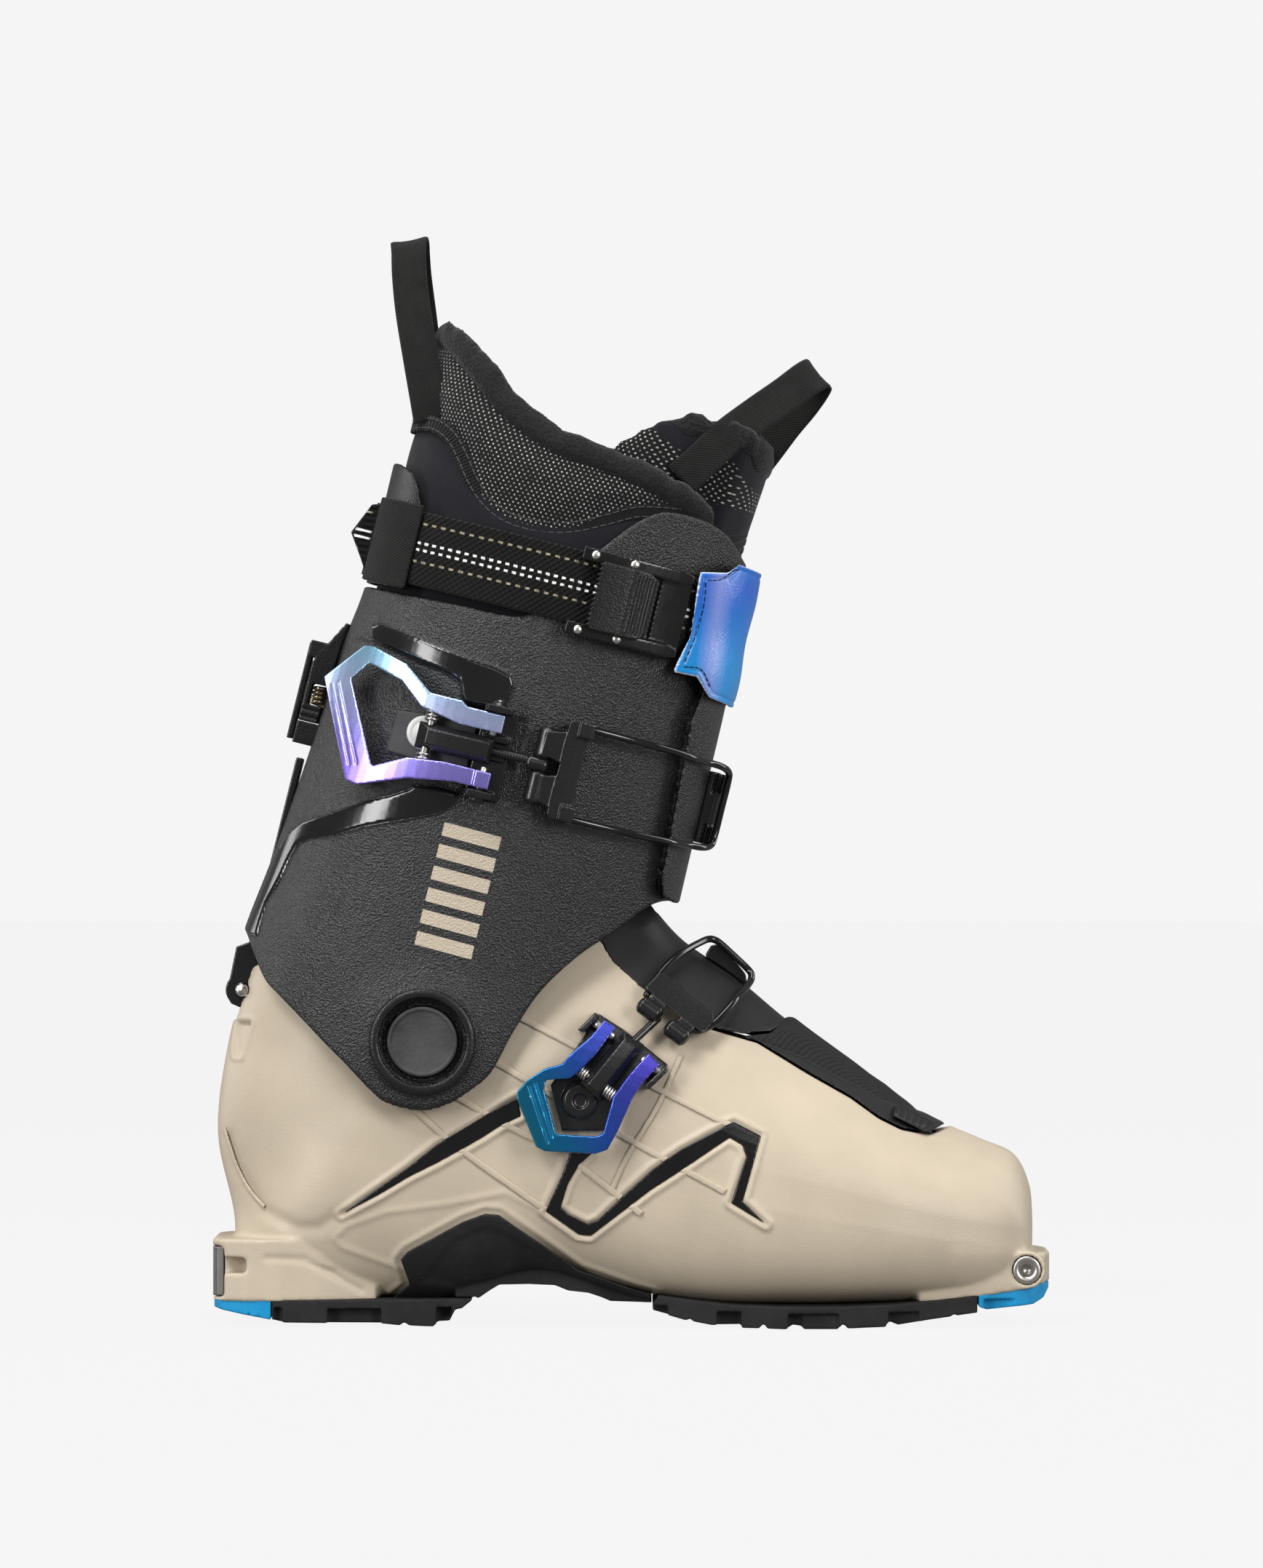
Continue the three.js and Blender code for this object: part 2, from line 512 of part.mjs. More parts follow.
part('liner_tongue', largest(band(-CUFF_WALL - 0.9, -10.5, LINER_TONGUE, 90, 242)
  .subtract(rodY(0, 0, 95.5, -60, 60, 40))
  .intersect(box(20, 100, -30.4, 30.4, 90, 250))), BLACK_FABRIC, leg);

// A flat webbing loop: a strip of the given width bent into a hairpin and standing on the liner.
function loopStrip(line, half, thickness) {
  const outline = [];
  const back = [];
  line.forEach(([a, b], i) => {
    const before = line[Math.max(i - 1, 0)];
    const after = line[Math.min(i + 1, line.length - 1)];
    const run = new THREE.Vector2(after[0] - before[0], after[1] - before[1]).normalize();
    outline.push([a, b]);
    back.push([a + run.y * thickness, b - run.x * thickness]);
  });
  const shape = polygon([...outline, ...back.reverse()]);
  const geometry = new THREE.ExtrudeGeometry(shape, { depth: 2 * half, bevelEnabled: false });
  geometry.translate(0, 0, -half);
  return solidOf(geometry);
}
function hairpin(gap, height) {
  const line = [[-gap, 0], [-gap, height - gap]];
  for (let i = 1; i < 6; i++) {
    const turn = Math.PI - (i / 6) * Math.PI;
    line.push([gap * Math.cos(turn), height - gap + gap * Math.sin(turn)]);
  }
  line.push([gap, height - gap], [gap, 0]);
  return line;
}
function pullLoop(name, u, w, tilt, gap, height, liner) {
  const turn = new THREE.Matrix4().makeRotationY(tilt).multiply(new THREE.Matrix4().makeBasis(
    new THREE.Vector3(0, 1, 0),
    new THREE.Vector3(0, 0, 1),
    new THREE.Vector3(1, 0, 0),
  )).setPosition(u, 0, w);
  part(name, largest(placed(loopStrip(hairpin(gap, height), 6.7, 1.6), turn).subtract(liner)), WEBBING, leg);
}
pullLoop('rear_pull_loop', -54.3, 216, -0.35, 7, 59, legSkin(-CUFF_WALL - 0.6 + GAP, 190, 256, 4, 32));
pullLoop('front_pull_loop', 66.5, 229, 0.46, 6, 35, legSkin(-CUFF_WALL - 0.9 + GAP, 190, 256, 4, 32));

// ---------- ski-walk lock on the back of the cuff ----------
const BAR_U = -68.8;
const legB = new THREE.Vector3(LINK.x - PIVOT.x, 0, LINK.z - PIVOT.z).applyAxisAngle(new THREE.Vector3(0, 1, 0), -LEAN);
function walkBar() {
  const eye = rodY(legB.x, legB.z, LINK.r, -LINK.half, LINK.half, 22);
  const strip = sidePrism([[legB.x - 6, legB.z + 1], [BAR_U, 15], [BAR_U, 86], [BAR_U + 2.6, 86],
    [BAR_U + 2.6, 17], [legB.x + 5.7, legB.z + 1]], -LINK.half, LINK.half);
  return largest(join(eye, strip).subtract(rodY(legB.x, legB.z, 2.6, -20, 20, 14)));
}
part('walk_bar', walkBar(), BLACK_METAL, leg);
part('link_rivet', rodY(LINK.x, LINK.z, 2.3, -11.5, 11.5, 14), STEEL);
const guide = box(-71.6, -61.9, -BAR_SLOT + GAP, BAR_SLOT - GAP, 91, 99)
  .subtract(box(-69.6, -61.5, -LINK.half - 0.5, LINK.half + 0.5, 80, 110));
part('lock_guide', guide, BLACK_PLASTIC, leg);
part('lock_collar', box(-71.4, -61.9, -7.4, 7.4, 114, 119.5), BLACK_METAL, leg);
part('lock_housing', box(-65.8, -61.9, -8.2, 8.2, 120, 137)
  .subtract(box(-70, -61, -9, 9, 124, 140)).add(box(-66.3, -63.2, -8.2, 8.2, 123.9, 137)), BLACK_PLASTIC, leg);
part('walk_lever', box(-74, -71.9, -6, 6, 92, 127).subtract(box(-75, -71, -2.5, 2.5, 96, 108)), BLACK_PLASTIC, leg);
function spring(r, wire, from, to, turns) {
  const path = new THREE.CatmullRomCurve3(Array.from({ length: turns * 7 + 1 }, (_, i) => new THREE.Vector3(
    r * Math.cos((i / 7) * 2 * Math.PI),
    r * Math.sin((i / 7) * 2 * Math.PI),
    from + ((to - from) * i) / (turns * 7),
  )));
  return solidOf(new THREE.ExtrudeGeometry(circle(wire, 5), { steps: turns * 8, extrudePath: path }));
}
function circle(r, sides) {
  return polygon(Array.from({ length: sides }, (_, i) => [
    r * Math.cos((i / sides) * 2 * Math.PI),
    r * Math.sin((i / sides) * 2 * Math.PI),
  ]));
}
const lockSpring = part('lock_spring', spring(2.6, 0.7, 105, 113, 4), BRASS, leg);
lockSpring.position.set(-66, 0, 0);

// ---------- power strap ----------
const ROUND = [[-90, 140], [90, 140], [90, 200], [-90, 200]];
part('power_strap', band(2.4, 0.6, ROUND, 155, 181, 2), WEBBING, leg);
part('strap_keeper', band(4.4, 2.6, [[-59, 153], [-45, 153], [-45, 183], [-59, 183]], 150, 186, 2)
  .intersect(box(-80, 0, -80, 0, 140, 200)), WEBBING, leg);
const lateral = box(-90, 90, -90, 0, -60, 260);
const frame = band(6, 2.6, [[14.5, 151.5], [53.5, 151], [53.5, 182.4], [14.5, 183]], 148, 186, 2)
  .intersect(lateral).subtract(sidePrism([[22, 157], [44, 157], [44, 177], [22, 177]], -90, 0));
part('strap_buckle_frame', frame, BLACK_PLASTIC, leg);
const CAM = [[24, 154.4], [41.7, 154.4], [41.7, 179], [24, 179], [25.6, 177.4], [24, 175.6], [25.6, 173.8], [24, 172],
  [25.6, 170.2], [24, 168.4], [25.6, 166.6], [24, 164.8], [25.6, 163], [24, 161.2], [25.6, 159.4], [24, 157.6],
  [25.6, 156]];
part('strap_cam', band(9.5, 6.4, CAM, 150, 184, 2).intersect(lateral), BLACK_PLASTIC, leg);
const TAB = [[55, 183.7], [64.3, 186.1], [67.6, 190.3], [90, 188.6], [90, 140.6], [77.3, 140.6], [68.5, 141.8],
  [62.6, 148.1], [54.3, 147.6], [56.7, 161]];
part('strap_pull_tab', band(6.2, 3.8, TAB, 136, 194, 3).intersect(box(0, 100, -90, 6, 100, 200)), BLUE_LEATHER, leg);

// ---------- upper buckle ----------
const HINGE_U = { u: -2, y: -60.5 };
const UPPER_ROD_Y = -57.3;
function legPlate(outline, outer, inner, y1 = 0) {
  const ws = outline.map(([, w]) => w);
  return band(outer, inner, outline, Math.min(...ws) - 4, Math.max(...ws) + 4, 3).intersect(box(-90, 90, -90, y1, -60, 260));
}
let base = legPlate([[-7, 87], [5.5, 88], [5.5, 120], [-7, 121]], 2.6, GAP + 0.1);
for (const w of [88, 118.6]) base = base.add(box(-6, 3, -64, -53, w, w + 2.4));
base = base.subtract(rodZ(HINGE_U.u, HINGE_U.y, 1.7, 80, 130)).subtract(rodX(UPPER_ROD_Y, 105, 1.8, -20, 20));
part('upper_buckle_base', largest(base.subtract(cuff.translate([0, -GAP, 0]))), BLACK_METAL, leg);
part('upper_slider_plate', legPlate([[-37, 96], [-8, 95], [-8, 114], [-37, 111]], 2.2, GAP), GREY_PLASTIC, leg);
part('upper_hinge_pin_a', rodZ(HINGE_U.u, HINGE_U.y, 1.35, 110.6, 122.5), STEEL, leg);
part('upper_hinge_pin_b', rodZ(HINGE_U.u, HINGE_U.y, 1.35, 86.5, 98.6), STEEL, leg);
const UPPER_LEVER = [[-65.2, 116.2], [-53.4, 130.3], [-50.1, 130.6], [-37.2, 127.3], [-26.7, 119.6], [-15, 119.6],
  [-12.8, 118], [1, 118], [1, 111.6], [-14.3, 111.4], [-28.8, 114.2], [-37.5, 121.3], [-50.2, 124.6], [-55.3, 117.6],
  [-40.7, 89.8], [-29.3, 95.7], [-16.1, 97.3], [1, 97.3], [1, 91.3], [-11.7, 91.3], [-27.6, 88.4], [-44.2, 82],
  [-48.5, 82.7]];
const upperPins = join(rodZ(HINGE_U.u, HINGE_U.y, 1.7, 80, 130), rodZ(-24, -56.6, 1.6, 80, 130));
part('upper_lever', largest(legPlate(UPPER_LEVER, 9.6, 5.2).subtract(upperPins)), BLUE_ALUMINIUM, leg);
part('upper_link_pin', rodZ(-24, -56.6, 1.3, 92, 117), STEEL, leg);
part('upper_link', legPlate([[-27.6, 99.8], [-6, 100.5], [-6, 110], [-27.6, 109]], 8.4, 3)
  .subtract(rodZ(-24, -56.6, 1.6, 80, 130)), BLACK_METAL, leg);
part('upper_rod', rodX(UPPER_ROD_Y, 105, 1.4, -5.6, 14.6), BLACK_METAL, leg);
const YOKE = [[15, 101.5], [19.5, 101.5], [22, 86.5], [31, 86.5], [31, 122.5], [22, 122.5], [19.5, 108.5], [15, 108.5]];
const WIRE = 1.2;
// Side position of a wire that runs over the outside of a solid, at [a, b] of its side view.
function outside(solid, a, b, rise) {
  const hits = solid.rayCast([a, -120, b], [a, 40, b]);
  return new THREE.Vector3(a, hits[0].position[1] - rise, b);
}
function wire(points, sides = 6) {
  const path = new THREE.CatmullRomCurve3(points, false, 'centripetal');
  return solidOf(new THREE.ExtrudeGeometry(circle(WIRE, sides), { steps: Math.round(points.length * 2.2), extrudePath: path }));
}
const bailPath = legSkin(GAP + FLAP_WALL + 2.4, 60, 150, 5, 36);
const upperBailLine = [[27, 88.3], [42, 88.4], [56, 88.6], [67, 89], [74, 89.5]]
  .map(([u, w]) => outside(bailPath, u, w, 0));
const upperBailTop = [[74, 119.6], [67, 120], [56, 120.4], [42, 120.6], [27, 120.7]]
  .map(([u, w]) => outside(bailPath, u, w, 0));
const catchFront = [new THREE.Vector3(81, -12, 90.5), new THREE.Vector3(82.4, -8, 95),
  new THREE.Vector3(82.4, -8, 114), new THREE.Vector3(81, -12, 118.5)];
const upperBail = wire([...upperBailLine, ...catchFront, ...upperBailTop]);
part('upper_bail', upperBail, BLACK_METAL, leg);
function yokeBody() {
  let body = legPlate(YOKE, 7.8, 3.4);
  body = body.subtract(thicken(upperBail)).subtract(rodX(UPPER_ROD_Y, 105, 1.8, -6, 15));
  for (const { y, z } of [upperBailLine[0], upperBailTop[4]]) {
    body = body.subtract(box(25.4, 32, -70, y + 1.6, z - 1.7, z + 1.7));
  }
  return largest(body);
}
// A wire together with the air around it.
function thicken(solid) {
  const step = GAP + 0.05;
  return [[step, 0], [-step, 0], [0, step], [0, -step]].reduce(
    (sum, [y, w]) => sum.add(solid.translate([0, y, w])),
    solid,
  );
}
part('upper_yoke', yokeBody(), BLACK_METAL, leg);
// The bail hooks behind the two teeth of this plate.
const CATCH = [[70, 91], [79, 91], [82.6, 93.5], [82.6, 99.4], [79.6, 100.6], [79.6, 103.4], [82.6, 104.6], [82.6, 110],
  [79.6, 111.2], [79.6, 117], [70, 117]];
part('upper_catch', largest(sidePrism(CATCH, -5.4, 6).subtract(legSkin(2 * GAP + FLAP_WALL, 60, 150, 5, 36))),
  BLACK_METAL, leg);

// ---------- lower buckle ----------
// Outlines are in side view again, as [x, z].
const footOuter = footSkin(0);
const lateralFoot = box(0, 300, -90, 0, 0, 200);
function footPlate(outline, outer, inner) {
  const ring = footSkin(outer).subtract(footSkin(inner));
  return ring.intersect(lateralFoot).intersect(sidePrism(outline, -90, 90));
}
const pinPath = footSkin(6);
const hingeA = outside(pinPath, 139.5, 105, 0);
const hingeB = outside(pinPath, 155, 93.2, 0);
const hingeRun = hingeB.clone().sub(hingeA).normalize();
function pinAlong(from, run, start, end, r, sides = 12) {
  const geometry = new THREE.CylinderGeometry(r, r, end - start, sides);
  geometry.applyQuaternion(new THREE.Quaternion().setFromUnitVectors(new THREE.Vector3(0, 1, 0), run));
  const middle = from.clone().addScaledVector(run, (start + end) / 2);
  geometry.translate(middle.x, middle.y, middle.z);
  return solidOf(geometry);
}
const hingeLength = hingeB.distanceTo(hingeA);
const linkA = outside(pinPath, 129, 92.5, 0);
const linkLength = 18.5;
const lowerPin = (r, more) => pinAlong(hingeA, hingeRun, -4.6 - more, hingeLength + 4.6 + more, r);
const lowerLinkPin = (r, more) => pinAlong(linkA, hingeRun, -0.5 - more, linkLength + more, r);
let lowerBase = footPlate([[124, 70], [139, 70], [147, 84], [161.5, 93], [146.5, 105], [137, 111], [120, 86]],
  2.4, GAP);
const ears = [[[131.5, 104.4], [137.3, 110.4], [135.7, 111.6], [129.6, 105.6]], [[153, 86], [160, 92.6],
  [161.6, 91.4], [154.6, 84.6]]];
for (const ear of ears) lowerBase = lowerBase.add(footPlate(ear, 8.6, GAP));
part('lower_buckle_base', largest(lowerBase.subtract(lowerPin(1.7, 4)).subtract(shell)), BLACK_METAL);
part('lower_hinge_pin_a', pinAlong(hingeA, hingeRun, -4.6, 3.4, 1.35), STEEL);
part('lower_hinge_pin_b', pinAlong(hingeB, hingeRun, -3.4, 4.6, 1.35), STEEL);
const LOWER_LEVER = [[143, 106.4], [139, 109], [134, 103], [127, 97], [124, 93.6], [118, 92], [112, 88],
  [108.3, 84], [108.3, 81], [115, 64.5], [118, 63], [136, 62.2], [140, 63.6], [143.6, 70], [149, 82],
  [152, 86.5], [158.4, 93.4], [154.6, 97.4], [150.4, 93], [147, 89], [142, 82], [138.6, 69.4], [136, 68.2],
  [122, 69], [117.8, 84.5], [118.5, 88], [127, 88.6], [130, 91], [136, 97]];
part('lower_lever', largest(footPlate(LOWER_LEVER, 9.4, 5.4).subtract(lowerPin(1.7, 4))
  .subtract(lowerLinkPin(1.6, 6))), BLUE_ALUMINIUM);
part('lower_link_pin', lowerLinkPin(1.25, 0), STEEL);
const rodA = outside(pinPath, 148, 100.4, 0);
const rodB = outside(footSkin(5.2), 158, 109.6, 0);
const rodRun = rodB.clone().sub(rodA).normalize();
const lowerRod = (r, more) => pinAlong(rodA, rodRun, -more, rodB.distanceTo(rodA) + more, r);
part('lower_rod', lowerRod(1.4, 0), BLACK_METAL);
part('lower_link', largest(footPlate([[130.6, 86.4], [137.4, 81], [152, 99.5], [146, 104.4]], 8.4, 3)
  .subtract(lowerLinkPin(1.6, 6)).subtract(lowerPin(1.7, 6)).subtract(lowerRod(1.8, GAP))), BLACK_METAL);
const lowerBailPath = footSkin(5);
const lowerBailLine = [
  ...[[153.6, 117.2], [158, 124.4], [166, 132]].map(([x, z]) => outside(lowerBailPath, x, z, 0)),
  new THREE.Vector3(174.6, -11, 136.6),
  new THREE.Vector3(179, -8.6, 136),
  new THREE.Vector3(190, -8.6, 126),
  new THREE.Vector3(191, -12, 122.4),
  ...[[184.6, 113.4], [175.6, 105.4], [167.6, 103.4]].map(([x, z]) => outside(lowerBailPath, x, z, 0)),
];
const lowerBail = wire(lowerBailLine);
part('lower_bail', lowerBail, BLACK_METAL);
const LOWER_YOKE = [[156, 111], [159.4, 108], [161.6, 104], [164, 100.6], [168.4, 101.4], [170, 106.6], [160.4, 119.6],
  [154.6, 121], [150.6, 118.6], [152, 114]];
// Room for the end of a wire to swing outwards from where it starts.
function swingRoom(from, to) {
  const run = to.clone().sub(from).normalize();
  const end = pinAlong(from, run, -1.9, 9.5, 2);
  return end.add(end.translate([0, -10, 0])).hull();
}
let lowerYoke = footPlate(LOWER_YOKE, 8, 3.2).subtract(thicken(lowerBail)).subtract(lowerRod(1.8, GAP));
for (const [from, to] of [[lowerBailLine[0], lowerBailLine[1]], [lowerBailLine[9], lowerBailLine[8]]]) {
  lowerYoke = lowerYoke.subtract(swingRoom(from, to));
}
part('lower_yoke', largest(lowerYoke), BLACK_METAL);
// The catch of the lower bail stands on the tongue and leans back over the bail.
const INSTEP_CATCH = [[176.4, 127.6], [188.6, 119.6], [190.8, 122.4], [188.4, 124.6], [182.6, 129.4], [178, 133.4],
  [175.4, 131]];
part('instep_catch', largest(sidePrism(INSTEP_CATCH, -5.6, 12).subtract(footSkin(0.5))), BLACK_METAL);

// ---------- inlays and trim on the outer side of the shell ----------
const REAR_INLAY = [[46, 40], [60, 50], [70, 57], [80, 65], [90, 71], [100, 77], [108.5, 81.7], [109.5, 75],
  [103, 72], [96, 67.5], [90, 64], [80, 58.5], [70, 53.5], [60, 47.5]];
const FRONT_INLAY = [[127, 62], [124, 54], [118.3, 41.3], [130, 33], [134, 32.6], [146, 42], [155, 49],
  [165, 55.5], [176, 63], [183, 67.7], [187.5, 65], [188.8, 61], [183.5, 44.8], [195.7, 37.4], [187.5, 45.4],
  [194, 68.3], [184.5, 73.2], [176, 69], [166, 63.5], [156, 56.5], [146, 47.5], [137, 38.5], [133, 36.8],
  [126.5, 40], [123.5, 43], [126, 51], [130, 58], [134.5, 62]];
part('side_inlay_rear', largest(footPlate(REAR_INLAY, 1.1, 0.4)), BLACK_PLASTIC);
part('side_inlay_front', largest(footPlate(FRONT_INLAY, 1.1, 0.4)), BLACK_PLASTIC);
const badge = footPlate([[241, 74.6], [252.6, 68.8], [257, 71], [246.6, 77.4], [242, 78]], 2, 0.3);
part('throat_badge', largest(badge.subtract(shell)), BLACK_PLASTIC);

export default boot;
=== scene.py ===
"""Looks of a ski touring boot for the right foot.

Pieces are built in the CAD's own millimetres: x forwards from the back of the heel, y away from the boot's outer
side, z up. stand_in() and finish_piece() scale each finished piece into the frame.
"""

import json
import math

import bmesh
import bpy
import numpy as np
from mathutils import Matrix, Vector
from mathutils.bvhtree import BVHTree


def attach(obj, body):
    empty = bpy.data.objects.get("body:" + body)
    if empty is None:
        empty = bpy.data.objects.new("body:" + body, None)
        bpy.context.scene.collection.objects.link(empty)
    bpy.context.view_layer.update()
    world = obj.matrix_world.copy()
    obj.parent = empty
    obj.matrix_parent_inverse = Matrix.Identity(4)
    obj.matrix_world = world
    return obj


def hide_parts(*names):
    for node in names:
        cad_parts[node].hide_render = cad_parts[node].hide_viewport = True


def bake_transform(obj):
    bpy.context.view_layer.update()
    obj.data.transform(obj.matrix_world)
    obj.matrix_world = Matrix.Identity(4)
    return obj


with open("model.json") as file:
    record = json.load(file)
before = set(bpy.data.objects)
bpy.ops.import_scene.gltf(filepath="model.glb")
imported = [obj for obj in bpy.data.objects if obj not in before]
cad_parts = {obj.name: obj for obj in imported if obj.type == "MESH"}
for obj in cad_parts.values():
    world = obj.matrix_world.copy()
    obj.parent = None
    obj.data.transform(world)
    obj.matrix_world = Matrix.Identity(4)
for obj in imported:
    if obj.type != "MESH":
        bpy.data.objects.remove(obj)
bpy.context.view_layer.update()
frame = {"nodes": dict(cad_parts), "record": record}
RECORD = frame["record"]
BODY = {node: body for body, nodes in RECORD["behaviour"]["bodies"].items() for node in nodes}

# ---------- layout, in millimetres from the back of the heel, as in the CAD ----------
MM = 0.001
SOLE_LENGTH = 297
SIDE_SHIFT = 3.5
LEAN = math.radians(14)
PIVOT = (75, 101.5)
THROUGH = 90  # half the depth of a prism that goes right through the boot
SHELL_WALL = 4.5
CUFF_WALL = 3.4
TO_ROW = Matrix.Scale(MM, 4) @ Matrix.Translation((-SOLE_LENGTH / 2, SIDE_SHIFT, 0))
AT_PIVOT = Matrix.Translation((PIVOT[0], 0, PIVOT[1]))
LEG = AT_PIVOT @ Matrix.Rotation(LEAN, 4, "Y")  # from the leg's own u, y, w to model x, y, z

# Rings of the foot from toe to heel: lower end x, z, upper end x, z, and half widths low, middle and high.
STATIONS = np.array([
    [291.4, 30, 291.4, 38, 1, 1, 1],
    [290.4, 18, 290.6, 49, 17, 21, 12],
    [286, 11, 285, 60, 27, 32, 20],
    [276, 9, 273, 65.5, 33, 40, 26],
    [258, 8.5, 257, 72.5, 39, 47, 31],
    [234, 8, 237, 84, 45, 51.5, 35],
    [206, 7.5, 219, 96.5, 47.5, 53, 36],
    [176, 8, 203, 108.5, 45, 51.5, 36],
    [146, 12.5, 185, 123.5, 41, 48, 35],
    [116, 19.5, 167, 136, 37, 45, 34],
    [86, 11, 156, 148, 34, 43, 34],
    [56, 9, 148, 157, 33.5, 42, 33],
    [28, 9, 141, 164, 33.5, 41.5, 32],
    [8, 12, 135, 168, 31, 41, 31],
    [6.8, 38, 130, 170, 29, 40.5, 30],
    [0.8, 68, 126, 172, 27, 40, 29],
    [4.6, 100, 122, 174, 25, 39.5, 28],
    [12, 126, 118, 176, 25, 39, 28],
])
TOE_INWARD = 2.5
TOE_MARGIN = 5.6
CORNER_LOW = [[0, 3], [0.12, 4.5], [0.6, 4], [0.78, 2.9], [1, 2.3]]  # how square a ring is at its lower end
CORNER_HIGH = 2.3
# The leg's profiles: [height w, distance from its axis].
LEG_BACK = [[-40, -74], [0, -73.5], [22, -72.6], [50, -69], [75, -66.5], [100, -64.5], [130, -62.5],
            [151, -60], [181, -60.5], [250, -61]]
LEG_FRONT = [[-40, 74], [60, 73], [95, 72.5], [140, 72], [191, 70.5], [235, 74]]
LEG_HALF_WIDTH = [[-40, 48], [0, 49.5], [60, 51], [105, 53], [150, 54.5], [260, 55]]
LEG_MIDDLE = 3
LEG_ROUND = 2.3


# ---------- curves and surfaces ----------
def curve(points, x):
    """Smooth curve through [x, value] points, at every x."""
    p = np.asarray(points, float)
    x = np.clip(np.asarray(x, float), p[0, 0], p[-1, 0])
    i = np.clip(np.searchsorted(p[:, 0], x, side="left") - 1, 0, len(p) - 2)
    before, after = np.maximum(np.arange(len(p)) - 1, 0), np.minimum(np.arange(len(p)) + 1, len(p) - 1)
    slope = (p[after, 1] - p[before, 1]) / (p[after, 0] - p[before, 0])
    h = p[i + 1, 0] - p[i, 0]
    t = (x - p[i, 0]) / h
    t2, t3 = t * t, t * t * t
    return (p[i, 1] * (2 * t3 - 3 * t2 + 1) + slope[i] * h * (t3 - 2 * t2 + t)
            + p[i + 1, 1] * (3 * t2 - 2 * t3) + slope[i + 1] * h * (t3 - t2))


def run_along(points):
    """The distance along a line of each of its points."""
    return np.concatenate([[0], np.cumsum(np.linalg.norm(np.diff(points, axis=0), axis=1))])


def directions(points):
    """The unit direction of a line at each of its points."""
    steps = np.gradient(points, axis=0)
    return steps / np.linalg.norm(steps, axis=1)[:, None]


def smooth_line(points, count=90):
    """A line rounded through the points, with count points of its own."""
    points = np.array([tuple(p) for p in points], float)
    run = run_along(points)
    at = np.linspace(0, run[-1], count)
    return np.column_stack([curve(np.column_stack([run, column]), at) for column in points.T])


def beside(line, gap):
    """The line moved sideways in the side view."""
    run = directions(line)
    return line + gap * np.column_stack([-run[:, 1], run[:, 0]])


def strip_outline(line, half):
    """The outline of a strip of even width along the line."""
    return [tuple(p) for p in beside(line, half)] + [tuple(p) for p in beside(line, -half)[::-1]]


def power(value, n):
    """The coordinate of a superellipse of exponent n."""
    return np.sign(value) * np.abs(value) ** (2 / n)


def circle(count):
    return np.arange(count) / count * 2 * math.pi


def foot_ring(s, grow, count):
    """A ring of the foot at s, from 0 at the toe to 1 at the heel, grow millimetres outside the shell."""
    place = s * (len(STATIONS) - 1)
    index = np.arange(len(STATIONS))
    bx, bz, fx, fz, low, middle, high = (
        float(curve(np.column_stack([index, STATIONS[:, k]]), place)) for k in range(7))
    length = math.hypot(fx - bx, fz - bz)
    ax, az = (fx - bx) / length, (fz - bz) / length
    turn = circle(count)
    n = np.where(np.cos(turn) < 0, float(curve(CORNER_LOW, s)), CORNER_HIGH)
    a = power(np.cos(turn), n)
    cap = power(np.sin(turn), n)
    width = middle + a * (high - low) / 2 + a * a * ((high + low) / 2 - middle)
    half = length / 2 + grow
    shift = TOE_INWARD * max(0, 1 - s * 2.2)
    x = np.minimum((bx + fx) / 2 + ax * a * half, SOLE_LENGTH - TOE_MARGIN + grow)
    return np.column_stack([x, shift - cap * (width + grow), (bz + fz) / 2 + az * a * half])


def leg_ring(w, grow, count):
    """A level ring of the leg at height w in the leg's own frame."""
    back = LEG_MIDDLE - float(curve(LEG_BACK, w)) + grow
    front = float(curve(LEG_FRONT, w)) - LEG_MIDDLE + grow
    half = float(curve(LEG_HALF_WIDTH, w)) + grow
    turn = circle(count)
    c = power(np.cos(turn), LEG_ROUND)
    u = LEG_MIDDLE + c * np.where(np.cos(turn) > 0, front, back)
    return np.column_stack([u, -power(np.sin(turn), LEG_ROUND) * half, np.full(count, w)])


# ---------- meshes ----------
def new_mesh(name, vertices, faces):
    mesh = bpy.data.meshes.new(name)
    mesh.from_pydata([tuple(v) for v in vertices], [], [tuple(f) for f in faces])
    mesh.validate()
    mesh.update()
    piece = bpy.data.objects.new(name, mesh)
    bpy.context.scene.collection.objects.link(piece)
    return piece


def face_outwards(piece):
    """Flips the faces of a closed mesh if they face inwards."""
    mesh = piece.data
    mesh.calc_loop_triangles()
    total = 0
    for t in mesh.loop_triangles:
        a, b, c = (mesh.vertices[i].co for i in t.vertices)
        total += a.dot(b.cross(c))
    if total < 0:
        mesh.flip_normals()
    return piece


def loft(name, rings):
    """A closed solid through rings of equal counts."""
    count = len(rings[0])
    vertices = np.concatenate(rings)
    faces = []
    for r in range(len(rings) - 1):
        for i in range(count):
            j = (i + 1) % count
            faces.append((r * count + i, r * count + j, (r + 1) * count + j, (r + 1) * count + i))
    for r, flip in ((0, True), (len(rings) - 1, False)):
        centre = len(vertices)
        vertices = np.vstack([vertices, rings[r].mean(axis=0)])
        for i in range(count):
            j = (i + 1) % count
            a, b = r * count + i, r * count + j
            faces.append((b, a, centre) if flip else (a, b, centre))
    return face_outwards(new_mesh(name, vertices, faces))


def foot_skin(grow, stations=110, count=120):
    """The solid foot, grow millimetres outside the shell."""
    return loft("foot_skin", [foot_ring(i / stations, grow, count) for i in range(stations + 1)])


def leg_skin(grow, low, high, steps=70, count=130):
    """The solid leg between two heights, grow millimetres outside the cuff."""
    piece = loft("leg_skin", [leg_ring(w, grow, count) for w in np.linspace(low, high, steps + 1)])
    piece.data.transform(LEG)
    return piece


